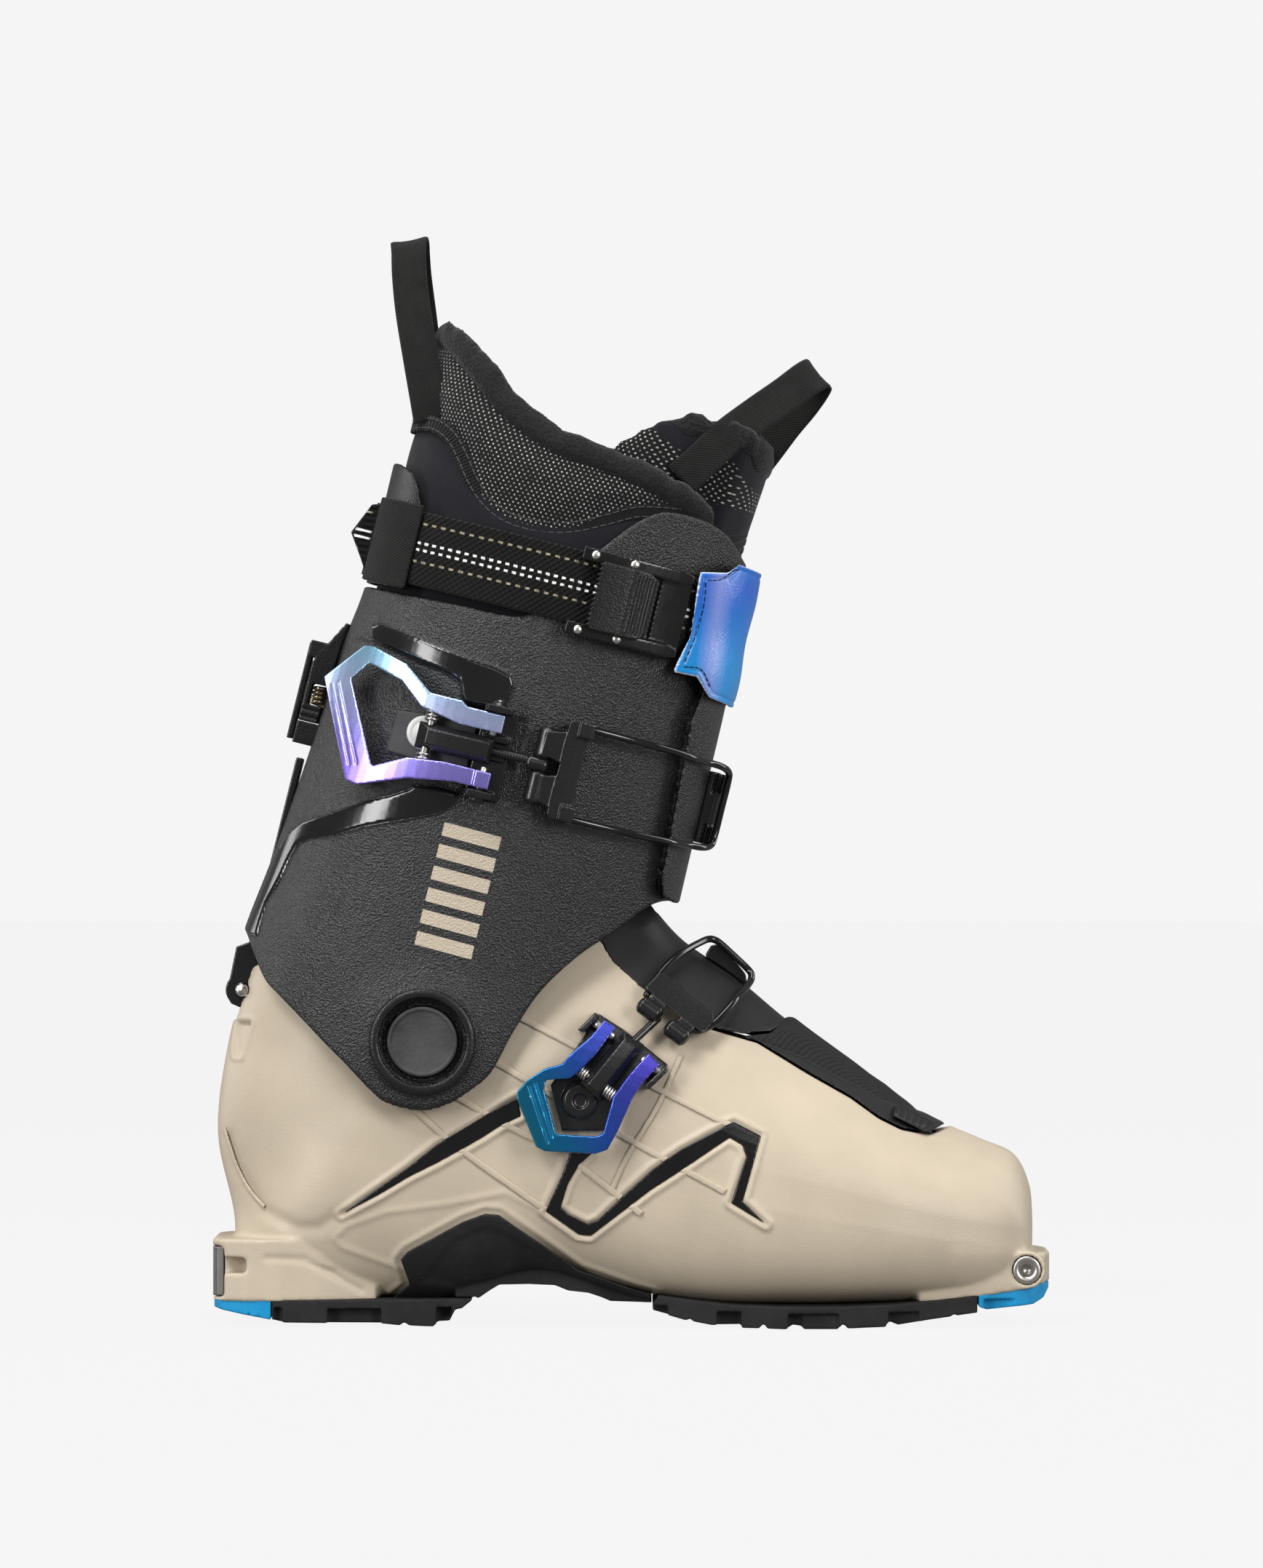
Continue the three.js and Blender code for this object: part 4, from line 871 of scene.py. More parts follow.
def bead(line, half, height):
    """A rounded rib moulded on both sides of the shell."""
    rib = keep(foot_skin(height), prism(strip_outline(smooth_line(line, 12), half)))
    cut(rib, foot_skin(-0.8), block(-20, 320, -12, 12, 0, 200))
    for inlay in (REAR_INLAY, FRONT_INLAY):
        cut(rib, prism(inlay, -90, 0))
    return soften(rib, 0.4, 3)


beads = [bead(line, 1.15, 0.95) for line in RIBS]
beads.append(bead(BUCKLE_CREASE, 0.9, 0.8))
beads.append(bead(HEEL_LINE, 0.7, 0.55))
ribs = gather(beads)
finish_piece(ribs, "shell_ribs", "shell", SAND_PLASTIC)


def foot_plate(outline, outer, inner):
    """A plate on the outer side of the foot, between two offsets of the shell."""
    return cut(keep(foot_skin(outer), prism(outline, -THROUGH, 0)), foot_skin(inner))


for node, outline in (("side_inlay_rear", REAR_INLAY), ("side_inlay_front", FRONT_INLAY)):
    stand_in(soften(foot_plate(outline, 0.35, -0.9), 0.35, 1), node, SMOOTH_BLACK)


# ---------- soles ----------
SOLE_SIDE = [(0, 20), (3, 27), (12, 31.5), (40, 34), (70, 33), (110, 30), (150, 34), (180, 42), (210, 46.5),
             (240, 44), (262, 37), (276, 34), (289, 30.5), (295, 23.5), (297, 14)]


def sole_block():
    return plan_prism([(x, -y) for x, y in SOLE_SIDE] + SOLE_SIDE[::-1], -2, 42)


def sole_piece(node, outline, material, side_cuts):
    """A tread piece. Side cuts of [x0, x1, inset, height] notch its edges between the lugs."""
    piece = keep(prism(outline), sole_block())
    for x0, x1, inset, depth in side_cuts:
        for side in (-1, 1):
            edge = float(curve(SOLE_SIDE, (x0 + x1) / 2))
            cut(piece, block(x0, x1, side * edge - inset, side * edge + inset, -5, depth))
    cut(piece, foot_skin(0.3))
    stand_in(soften(piece, 0.45, 1), node, material)


sole_piece("heel_outsole", [(21.4, 9.6), (21.4, 2.6), (26, 1.6), (59.7, 1.4), (66.5, 0.7), (68.2, 1.8),
                            (70, 0.6), (78.3, 0.2), (80, 1.8), (84.1, 2), (86.2, 6.2), (88.5, 6.6),
                            (92, 9.4), (92, 10)], BLACK_RUBBER,
           side_cuts=[(22, 25, 3, 7), (41, 60, 4.5, 6.7), (79.6, 85, 5, 7.2)])
sole_piece("heel_sole_tip", [(0.5, 9.8), (0.5, 6.6), (4, 5.8), (10, 4.6), (21, 2.6), (21, 9.8)], BLUE_RUBBER,
           side_cuts=[(9, 10, 1, 5.6), (12.6, 13.6, 1, 5), (16.2, 17.2, 1, 4.4)])
sole_piece("forefoot_outsole", [(156, 8), (156, 6), (167.7, 2.8), (169.2, 3.4), (170.4, 2.4), (176.6, 1.3),
                                (187, 1.4), (187.5, 0.4), (193.4, 0.3), (195.1, 2), (196.4, 0.2), (202.9, 0),
                                (205.3, 1.5), (208.3, 1.1), (209.3, 0), (221, 0), (223, 2), (224.7, 0.3),
                                (238, 0.8), (238.5, 2.2), (240, 2.3), (242.5, 1.3), (252.9, 3), (261, 4),
                                (262.3, 4.8), (263.6, 4.4), (270.7, 5.3), (270.7, 11.4), (256, 9.8),
                                (240, 8.6), (224, 8), (200, 8), (184, 8.5), (168, 10.2), (158, 11.4)],
           BLACK_RUBBER, side_cuts=[(155, 161.4, 5, 8), (178.6, 187.2, 5, 6.1), (203.6, 208.6, 4, 5.4),
                                    (208.6, 221.6, 2.5, 5.4), (239, 250, 3.5, 5.9)])
sole_piece("toe_sole_tip", [(271.1, 7.4), (274, 6.2), (290.8, 8), (294.4, 10), (296.6, 13), (296.8, 15.6),
                            (288, 13.9), (280, 12.4), (271.1, 11.4)], BLUE_RUBBER,
           side_cuts=[(273, 284, 2.2, 10)])


def arch_relief(points, facing):
    flat = side_view(points)
    out = -0.5 * ramp(-signed(flat, [(74, 16), (86, 31), (98, 36), (108, 31), (128, 17), (100, 13)]), -1.5,
                      1.5)
    return out * ramp(np.abs(facing[:, 1]), 0.3, 0.6)


arch = keep(prism(ARCH), foot_skin(2.8))
KEEL = [(86, 10.2), (92, 10.2), (93.4, 10.6), (94.2, 9.8), (98.2, 12.6), (101.7, 14.7), (112, 14.9),
        (121.4, 14.5), (126, 12.6), (133.2, 11.8), (138, 10.2), (141, 8.9), (155.6, 8.4), (155.6, 14),
        (130, 24), (98, 36), (88, 20)]
join(arch, keep(prism(KEEL, -27, 27), foot_skin(9)))
cut(arch, foot_skin(0.3))
emboss(soften(biggest(arch), 0.5, 2), arch_relief)
stand_in(arch, "arch_rubber", BLACK_RUBBER)

# ---------- fittings for pin bindings ----------
END = [(0, 25), (0.9, 29.2), (2.3, 31.3), (2.9, 32.3), (4.4, 32.6), (5, 32.1)]
fitting = turned_y(*TOE_FITTING, [(0, -25), *[(r, -y) for r, y in END[1:]],
                                  *[(r, y) for r, y in reversed(END[1:])], (0, 25)], 96)
stand_in(fitting, "toe_insert", STEEL)
heel_plate = plan_prism([(0, -19), (1.4, -21), (4, -21.6), (4, 21.6), (1.4, 21), (0, 19)], 10.6, 28)
cut(heel_plate, block(-1, 2.4, 4.5, 8.5, 9, 22), block(-1, 2.4, -8.5, -4.5, 9, 22))
TURN_X = Matrix.Rotation(math.pi / 2, 4, "Z")
for z in (14.6, 24):
    cut(heel_plate, rod_y(0, 0, 1.9, -6, 6, Matrix.Translation((0, 0, z)) @ TURN_X))
stand_in(soften(heel_plate, 0.25, 1), "heel_insert", DARK_STEEL)
for node, z in (("heel_insert_screw_lower", 14.6), ("heel_insert_screw_upper", 24)):
    place = Matrix.Translation((0, 0, z)) @ Matrix.Rotation(-math.pi / 2, 4, "Z")
    screw = turned_y(0, 0, [(0, 0.9), (0.75, 0.9), (0.8, 0.35), (1.3, 0.35), (1.5, 0.6), (1.5, 8), (0, 8)],
                     48, place)
    stand_in(screw, node, BLACK_METAL)

# ---------- attributes ----------
def mark(piece, name, values):
    """Stores one number for each vertex, for the material to read."""
    layer = piece.data.attributes.new(name, "FLOAT", "POINT")
    layer.data.foreach_set("value", np.asarray(values, np.float32))


def lay_cloth(piece, along, across):
    """Stores the cloth's own coordinates, in millimetres along and across it."""
    layer = piece.data.attributes.new("cloth", "FLOAT_VECTOR", "POINT")
    flat = np.column_stack([along, across, np.zeros(len(along))]).astype(np.float32)
    layer.data.foreach_set("vector", flat.ravel())


def wrap_leg(piece, radius=58, tilt=0.0):
    """Cloth coordinates of a piece that goes round the leg."""
    points = coordinates(piece)
    flat = leg_view(points)
    around = np.arctan2(points[:, 1], flat[:, 0] - LEG_MIDDLE) * radius
    lay_cloth(piece, around + tilt * flat[:, 1], flat[:, 1] - tilt * around)


# ---------- cuff ----------
CUFF_TOP = [(90, 180), (70.5, 191), (61, 199), (50, 202), (35, 200), (20, 184.4), (8, 165), (-1, 154),
            (-24.5, 152), (-59, 151), (-82, 151)]
FLAP = [(66, 142.6), (64.5, 131.9), (65.3, 120.5), (67, 91.9), (67.8, 75.1), (70, 69.4), (74, 68.2),
        (90, 68.2), (90, 150), (66, 150)]
GLOSS_UPPER = [(56.8, 247.7), (60.1, 248.3), (73.6, 243.4), (88.4, 237.2), (100.7, 232.9), (106.2, 229.9),
               (107.2, 226.8), (105.6, 222.5), (104.1, 217.6), (100.7, 218.8), (97, 219.4), (89.9, 220.6),
               (89, 224.3), (88.4, 227.4), (84.7, 230.5), (76.1, 234.2), (71.2, 236.6), (57.7, 242.2),
               (56.8, 244)]
GLOSS_LOWER = [(9.7, 141.9), (12.1, 149.9), (18.3, 159.8), (22, 167.1), (26.9, 174.5), (31.8, 178.2),
               (42.9, 181.9), (55.2, 186.2), (63.8, 188), (71.2, 190.5), (72.4, 192.1), (76.1, 191.4),
               (81, 191.4), (87.2, 189.3), (87.2, 187.4), (84.7, 184.4), (81, 181.9), (71.2, 180), (54, 177),
               (42.9, 173.9), (34.3, 172.7), (30.6, 170.8), (27.5, 165.3), (24.4, 158.5), (19.5, 149.9),
               (17.1, 142.5), (16.1, 138.2), (12.8, 138.9)]
POCKET = [(58, 242), (88, 230), (90, 220), (105, 216), (98, 186), (88, 188), (72, 192), (55, 186), (42, 182),
          (36, 196), (36, 232), (50, 244)]
BASE_SEAT = [(95, 219), (112, 214.5), (106, 184.5), (88.5, 189)]
GAP = 0.35
FLAP_WALL = 3.0
BAR_HALF = 8.6


def leg_prism(outline, y0=-THROUGH, y1=THROUGH):
    return prism(outline, y0, y1, LEG)


def leg_block(u0, u1, y0, y1, w0, w1):
    return block(u0, u1, y0, y1, w0, w1, LEG)


def leg_band(outer, inner, outline, side=0, steps=60):
    """A skin of the leg between two offsets, within an outline; side -1 keeps the outer side of the boot."""
    heights = [w for _, w in outline]
    low, high = min(heights) - 4, max(heights) + 4
    piece = keep(leg_skin(outer, low, high, steps), leg_prism(outline, -THROUGH, 0 if side else THROUGH))
    return cut(piece, leg_skin(inner, low - 5, high + 5, steps))


BOSS = [(0, 38), (18.6, 38), (18.6, 51.6), (18.1, 52.5), (17.2, 52.9), (16, 52.9), (15.3, 52.5), (15, 51.4),
        (13.4, 51.2), (12.9, 51.4), (12.9, 50.2), (0, 50.2)]


def cuff_relief(points, facing):
    """The polished bands, the seats of the buckle, the swell round the pivot and the lip of the flap."""
    flat = side_view(points)
    both = ramp(np.abs(facing[:, 1]), 0.2, 0.45) * (np.sign(facing[:, 1]) == np.sign(points[:, 1]))
    near = points[:, 1] < 0
    out = np.zeros(len(points))
    out -= both * near * 0.7 * ramp(-signed(flat, POCKET), -0.7, 0.9)
    out += both * near * 1.3 * ramp(-signed(flat, GLOSS_UPPER), -0.5, 0.5)
    out += both * 1.0 * ramp(-signed(flat, GLOSS_LOWER), -0.5, 0.5)
    out -= both * near * 0.6 * ramp(-signed(flat, BASE_SEAT), -0.4, 0.6)
    ring = np.hypot(flat[:, 0] - PIVOT[0], flat[:, 1] - PIVOT[1])
    swell = np.exp(-(np.maximum(ring - 18.6, 0) / 7) ** 2) * (ring > 18.4)
    out += both * 1.1 * swell
    leg = leg_view(points)
    edge = [(65.3, 140), (63.9, 131.9), (64.6, 120.5), (66.3, 91.9), (67, 76)]
    out += both * near * 0.45 * np.exp(-(distance_to(leg, edge) / 0.8) ** 2)
    return out


def cuff_solid():
    """The open cuff with its pivot bosses and its overlapping front flap."""
    body = cut(leg_skin(0, -30, 206, 90), leg_skin(-CUFF_WALL, -60, 215, 90))
    keep(body, leg_prism([tuple(p) for p in smooth_line(CUFF_LOW, 110)]
                         + [tuple(p) for p in smooth_line(CUFF_TOP, 90)]))
    for side in (-1, 1):
        join(body, turned_y(0, 0, [(r, side * y) for r, y in BOSS], 128, LEG))
    cut(body, leg_block(0, 90, 14, 15.5, 30, 215))
    flap = leg_band(GAP + FLAP_WALL, GAP, FLAP)
    join(body, flap, keep(leg_band(GAP + FLAP_WALL, -1, FLAP), leg_block(0, 90, 24, 60, 60, 155)))
    cut(body, leg_block(-90, -50, -BAR_HALF, BAR_HALF, 0, 124), rod_y(*PIVOT, 6.3), drum(GAP))
    return biggest(body)


def cuff_paint():
    """Grained plastic with two polished bands and a printed ladder of plain even bars."""
    p = Paint("cuff_plastic", BLACK, 0.36, specular_ior_level=0.55)
    gloss = p.range(p.mask("gloss"), 0.15, -0.15)
    across = Vector((20, 0, -5)).normalized()
    along = Vector((11.8, 0, 44)).normalized()
    middle = TO_ROW @ Vector((87.5, 0, 154.5))
    centred = p.vector("SUBTRACT", p.place, tuple(middle))
    a = p.vector("DOT_PRODUCT", centred, tuple(across / MM))
    b = p.vector("DOT_PRODUCT", centred, tuple(along / MM))
    side = p.range(p.parts(p.place)[1], 0.0, -0.001)
    block_a = p.range(p.maths("ABSOLUTE", a), 10.4, 10.25)
    block_b = p.range(p.maths("ABSOLUTE", b), 22.2, 22.05)
    step = p.maths("FRACT", p.maths("DIVIDE", p.maths("ADD", b, 22.2), 7.9))
    stripe = p.range(step, 0.632, 0.608)
    print_mask = p.maths("MULTIPLY", p.maths("MULTIPLY", block_a, block_b), p.maths("MULTIPLY", stripe, side))
    mottled = p.blend(p.range(p.noise(30, 4), 0.35, 0.65), (0.005, 0.0047, 0.0045), (0.0075, 0.007, 0.0068))
    plastic = p.worn(mottled, (0.05, 0.05, 0.05), 0.3)
    p.set("Base Color", p.blend(print_mask, plastic, p.blend(p.noise(5, 3), SAND, tint(SAND, 0.93))))
    rough = p.patches(10, 5, 0.3, 0.38)
    p.set("Roughness", p.blend(gloss, rough, p.patches(20, 2, 0.12, 0.2)))
    grain = p.maths("MULTIPLY", p.maths("ADD", p.cells(0.7), p.noise(0.55, 3)),
                    p.maths("SUBTRACT", 1.0, gloss))
    p.bump(grain, 0.24)
    p.bump(p.noise(2.4, 2), 0.02)
    return p.material


cuff = soften(cuff_solid(), 0.75, 2)
emboss(biggest(cuff), cuff_relief)
cuff_flat = side_view(coordinates(cuff))
mark(cuff, "gloss", np.minimum(signed(cuff_flat, GLOSS_UPPER), signed(cuff_flat, GLOSS_LOWER)))
stand_in(cuff, "cuff", cuff_paint())

SPOILER = [(-82, 151.8), (-46, 152.7), (-40, 162), (-43.5, 176), (-49, 189), (-52.5, 194), (-57.8, 196),
           (-82, 196)]
part(leg_band(-0.1, -2.9, SPOILER), "spoiler", BLACK_PLASTIC, 0.6, 3)

# ---------- ankle hinge ----------
CAP = [(0, 36), (5.9, 36), (5.9, 52.6), (12.2, 52.6), (12.3, 53.6), (11.9, 54.3), (11.2, 54.5), (10.9, 54.0),
       (10.5, 53.9), (0, 54.2)]
for node, side in (("pivot_cap_outer", -1), ("pivot_cap_inner", 1)):
    stand_in(turned_y(*PIVOT, [(r, side * y) for r, y in CAP], 128), node, ROUGH_BLACK)
for name, side in (("pivot_ring_outer", -1), ("pivot_ring_inner", 1)):
    ring = turned_y(*PIVOT, [(0, side * 48), (18.5, side * 48), (18.6, side * 52.6), (18, side * 53.2),
                             (15.9, side * 53.3), (15.4, side * 52.9), (15.3, side * 51.6),
                             (0, side * 51.6)], 128)
    cut(ring, rod_y(*PIVOT, 13.6, -70, 70, sides=128))
    finish_piece(ring, name, "cuff", BLACK_PLASTIC)
rivet = turned_y(*LINK, [(0, -11.5), (0.7, -11.5), (0.9, -11.0), (1.7, -11.1), (2.3, -10.5), (2.3, 10.5),
                         (1.7, 11.1), (0, 11.3)], 64)
stand_in(rivet, "link_rivet", STEEL)


# ---------- tongue and throat ----------
def throat_plate(outline, outer, inner):
    return cut(keep(foot_skin(outer), prism(outline)), foot_skin(inner))


TONGUE_EDGE = [(136.6, 137.4), (141.8, 129), (151.3, 120.4), (164, 111.2), (177.6, 105.8), (188, 103.6),
               (198, 104.4), (203.4, 106.6)]
tongue = throat_plate([*TONGUE_EDGE, (215, 120), (150, 175), (128, 165), (128, 146)], 0.1, -3.4)
outer_zone = join(rod_y(*PIVOT, 93.5, sides=160), block(157.5, 230, -60, 60, 60, 146))
part(keep(tongue, outer_zone), "tongue", FINE_BLACK, 0.6, 3)

GAITER = [(180, 104.5), (188, 102.8), (198, 103.6), (205, 106.8), (225, 106), (272, 76), (262, 71.4),
          (254, 68.6), (244.4, 70.3), (236.4, 74.2), (226.4, 81.4), (211, 90.2), (193.3, 101)]
RIM_TOP = [(182, 104), (193.5, 101.3), (208.3, 95.8), (220.6, 89), (230.4, 84.1), (236.5, 80.4), (246, 77),
           (258, 74.5), (272, 76)]


ABOVE_RIM_TOP = [*RIM_TOP, (272, 120), (182, 120)]


def gaiter_relief(points, facing):
    flat = side_view(points)
    above = signed(flat, ABOVE_RIM_TOP)
    puff = 2.2 * ramp(-above, 0, 5) * ramp(flat[:, 0], 196, 206)
    seam = 0.5 * bell(above, 0.6)
    return (puff - seam) * ramp(facing[:, 2] + np.abs(facing[:, 1]) * 0.4, 0.1, 0.4)


gaiter = soften(biggest(throat_plate(GAITER, 0.2, -2.8)), 0.6, 2)
emboss(gaiter, gaiter_relief)
gaiter_points = coordinates(gaiter)
mark(gaiter, "soft", signed(side_view(gaiter_points), ABOVE_RIM_TOP))
lay_cloth(gaiter, gaiter_points[:, 0] * 1.15, np.arctan2(gaiter_points[:, 1], 30) * 40)


def gaiter_paint():
    p = Paint("throat_gaiter", (0.011, 0.011, 0.0112), 0.6, specular_ior_level=0.3)
    soft = p.range(p.mask("soft"), 0.2, -0.2)
    over = woven(p, 0.9, 0.0)
    loops = p.maths("MULTIPLY", p.maths("ADD", over, p.cells(1.3)), soft)
    p.bump(loops, 0.3)
    p.set("Base Color", p.blend(soft, (0.014, 0.014, 0.0145),
                                p.blend(p.range(over, -1, 1), (0.004, 0.004, 0.0042), (0.02, 0.019, 0.0185))))
    p.set("Roughness", p.blend(soft, (0.42, 0.42, 0.42), (0.85, 0.85, 0.85)))
    p.bump(p.noise(0.5, 3), 0.04)
    return p.material


stand_in(gaiter, "throat_gaiter", gaiter_paint())


def badge_relief(points, facing):
    flat = side_view(points)
    outline = [(241.2, 77.4), (251.8, 73.2), (253.6, 71.2), (251, 70.4), (242.4, 74)]
    rows = np.sin((flat[:, 0] * 0.93 - flat[:, 1] * 0.36) * 2 * math.pi / 2.6)
    return 0.5 * ramp(-signed(flat, outline), -0.3, 0.4) * (0.5 + 0.5 * rows) * ramp(-facing[:, 1], 0.0, 0.4)


badge = foot_plate([(241, 74.6), (252.6, 68.8), (257, 71), (246.6, 77.4), (242, 78)], 2, 0.3)
part(badge, "throat_badge", FINE_BLACK, 0.35, 2, badge_relief)


# ---------- wires, ribbons and stitches ----------
def surface(skin):
    """A function giving the point of the skin that is seen from the side at model x, z."""
    mesh = skin.data
    tree = BVHTree.FromPolygons([v.co.copy() for v in mesh.vertices],
                                [tuple(p.vertices) for p in mesh.polygons])
    drop(skin)

    def at(x, z, side=-1):
        return tree.ray_cast(Vector((x, side * 300, z)), Vector((0, -side, 0)))[0]
    return at


def leg_at(skin, u, w, side=-1):
    flat = LEG @ Vector((u, 0, w))
    return skin(flat.x, flat.z, side)


def smooth_path(points, step=1.0):
    """Rounded path through the points, with a point about every step millimetres."""
    length = run_along([tuple(p) for p in points])[-1]
    return smooth_line(points, max(2, int(length / step) + 1))


def tube(path, radius, sides=12):
    """A round wire along the path, closed at its ends."""
    path = np.asarray(path, float)
    tangents = directions(path)
    normal = np.cross(tangents[0], (0, 0, 1) if abs(tangents[0][2]) < 0.9 else (1, 0, 0))
    rings = []
    turn = circle(sides)
    for k, tangent in enumerate(tangents):
        normal = normal - tangent * normal.dot(tangent)
        normal /= np.linalg.norm(normal)
        other = np.cross(tangent, normal)
        rings.append(path[k] + radius * (np.cos(turn)[:, None] * normal + np.sin(turn)[:, None] * other))
    ends = (rings[0] * 0.6 + path[0] * 0.4 - tangents[0] * radius * 0.35,
            rings[-1] * 0.6 + path[-1] * 0.4 + tangents[-1] * radius * 0.35)
    return loft("wire", [ends[0], *rings, ends[1]])


def stitches(path, length=2.2, gap=0.9, radius=0.22):
    """Rows of thread along a path."""
    path = smooth_path(path, 0.25)
    run = run_along(path)
    threads = []
    for start in np.arange(gap, run[-1] - length, length + gap):
        picked = np.linspace(start, start + length, 5)
        threads.append(tube(np.column_stack([np.interp(picked, run, path[:, k]) for k in range(3)]), radius,
                            6))
    return threads


def ribbon(path, across, half, thickness):
    """A flat woven strip along a path. Returns the piece, with its cloth coordinates laid."""
    path = smooth_path(path, 0.8)
    tangents = directions(path)
    wide = np.array(across, float) / np.linalg.norm(across)
    run = run_along(path)
    steps = np.linspace(-1, 1, 17)
    edge = np.concatenate([steps * half, steps[::-1] * half])
    lift = np.concatenate([np.full(17, 0.5), np.full(17, -0.5)]) * thickness
    lift *= 1 - 0.55 * (np.abs(edge) > half * 0.99)
    rings = []
    for point, tangent in zip(path, tangents):
        side = wide - tangent * wide.dot(tangent)
        side /= np.linalg.norm(side)
        rings.append(point + edge[:, None] * side + lift[:, None] * np.cross(tangent, side))
    piece = loft("ribbon", rings)
    along = np.concatenate([np.repeat(run, len(edge)), [run[0], run[-1]]])
    lay_cloth(piece, along, np.concatenate([np.tile(edge, len(path)), [0, 0]]))
    return piece


def puff(piece, voxel, cap, where):
    """Swells a padded piece with a cloth simulation, moving no point further than cap millimetres."""
    soften(piece, voxel, 1)
    piece.data.transform(TO_ROW)
    start = coordinates(piece)
    cloth = piece.modifiers.new("cloth", "CLOTH")
    cloth.settings.quality = 5
    cloth.settings.mass = 0.3
    cloth.settings.use_pressure = True
    cloth.settings.uniform_pressure_force = 4
    cloth.settings.effector_weights.gravity = 0
    cloth.point_cache.frame_start = 1
    cloth.point_cache.frame_end = 20
    scene = bpy.context.scene
    for number in range(1, 21):
        scene.frame_set(number)
    shaped = piece.evaluated_get(bpy.context.evaluated_depsgraph_get())
    moved = np.array([tuple(v.co) for v in shaped.to_mesh().vertices])
    shaped.to_mesh_clear()
    piece.modifiers.remove(cloth)
    scene.frame_set(1)
    shift = np.nan_to_num(moved - start)
    far = np.linalg.norm(shift, axis=1)
    reach = cap * MM * np.tanh(far / (cap * MM)) / np.maximum(far, 1e-9)
    start_mm = (start / MM) - np.array([-SOLE_LENGTH / 2, SIDE_SHIFT, 0])
    shift *= (reach * where(start_mm))[:, None]
    ends = np.array([tuple(edge.vertices) for edge in piece.data.edges])
    for _ in range(10):
        total, count = np.zeros_like(shift), np.zeros(len(shift))
        for a, b in (ends.T, ends.T[::-1]):
            np.add.at(total, a, shift[b])
            np.add.at(count, a, 1)
        shift = 0.4 * shift + 0.6 * total / np.maximum(count, 1)[:, None]
    piece.data.vertices.foreach_set("co", (start + shift).astype(np.float32).ravel())
    piece.data.transform(TO_ROW.inverted())
    piece.data.update()
    smoother = piece.modifiers.new("subdivide", "SUBSURF")
    smoother.levels = 1
    settle(piece)
    return piece


# ---------- liner ----------
LINER_TOP = [(-82, 251), (-56.8, 251), (-46.9, 249), (-33.9, 239.4), (-20, 229.1), (-2.9, 222.4), (13, 220.6),
             (27, 218.5), (41.8, 214.6), (60, 206), (90, 200)]
LINER_OPENING = [(0, 128), (30, 138), (60, 141), (110, 141), (128, 133), (150, 112), (172, 98), (178, 101),
                 (200, 106), (240, 250), (0, 250)]
BOARD_TOP = [(0, 29), (60, 28), (116, 28), (150, 22), (190, 17), (300, 18.5)]
TAPE_LINE = [(40, 319.5), (69, 320), (78, 319.5), (84.5, 315), (89, 307), (92.5, 299), (97.5, 291.5),
             (104.5, 286), (114.5, 282.8), (127, 282.2), (139.5, 284.8), (150, 287.5), (158, 287.6),
             (172, 286.5)]


ABOVE_RIM = [(-82, 300), *smooth_line(LINER_TOP, 120).tolist(), (90, 300)]
TAPE = smooth_line(TAPE_LINE)


def outward(points, facing):
    """How far each point of the leg faces away from the leg's middle."""
    return facing[:, 0] * (leg_view(points)[:, 0] - LEG_MIDDLE) / 60 + facing[:, 1] * points[:, 1] / 55


def ankle_loft(inset):
    """The sock of the liner between the foot and the leg: it widens upwards inside the cuff."""
    top = leg_ring(84, -4.2 - inset, 96) @ np.array(LEG.to_3x3()).T + np.array(LEG.translation)
    turn = circle(96)
    low = np.column_stack([70 + (52 - inset) * power(np.cos(turn), 2.3), -(25.5 - inset)
                           * power(np.sin(turn), 2.3), np.full(96, 122.0)])
    low[:, 2] += (low[:, 0] - 70) * 0.08
    return loft("ankle", [low + (top - low) * t for t in np.linspace(0, 1.02, 26)])


def liner_solid():
    above_board = prism([*BOARD_TOP, (300, 300), (0, 300)])
    foot = keep(foot_skin(-5.25), above_board, prism([(-10, 0), (320, 0), (320, 200), (128, 133), (110, 137),
                                                      (60, 137), (30, 134), (-10, 126)]))
    leg = keep(leg_skin(-4.2, 60, 252), leg_prism([(-82, 83), (90, 83), *LINER_TOP[::-1]]))
    body = join(foot, leg, ankle_loft(0))
    cut(body, leg_skin(-11.8, 84, 262), ankle_loft(7))
    board_clear = prism([(x, z + 1) for x, z in BOARD_TOP] + [(300, 300), (0, 300)])
    cut(body, keep(foot_skin(-9.85), board_clear))
    cut(body, keep(prism(LINER_OPENING), block(128, 320, -60, 60, 0, 300)))
    cut(body, leg_block(-90, -62.2, -8.6, 8.6, 0, 128), leg_block(20, 100, -31, 31, 62, 260),
        keep(rod_y(*PIVOT, 95.5, sides=160), leg_block(30, 100, -60, 60, 50, 120)))
    return body


def collar_only(points):
    flat = leg_view(points)
    return ramp(flat[:, 1], 150, 185)


def liner_relief(points, facing):
    flat, leg = side_view(points), leg_view(points)
    outer = ramp(outward(points, facing), 0.0, 0.35) * ramp(leg[:, 1], 150, 170)
    from_rim = signed(leg, ABOVE_RIM)
    out = outer * 1.6 * np.sqrt(np.clip(1 - ((from_rim - 5.2) / 5.2) ** 2, 0, 1))
    out -= outer * 0.7 * bell(from_rim - 10.8, 0.9)
    from_tape = distance_to(flat, TAPE)
    above = inside(flat, [*TAPE.tolist(), (172, 400), (40, 400)])
    field = above & (from_rim > 11)
    out += outer * field * 1.2 * ramp(np.minimum(from_rim - 11, from_tape - 2.8), 0, 9)
    out -= outer * 0.6 * bell(from_tape, 3.2)
    wave = np.sin(flat[:, 0] * 0.21 + flat[:, 1] * 0.12) * np.sin(flat[:, 1] * 0.17 - points[:, 1] * 0.1)
    return out + outer * 0.25 * wave


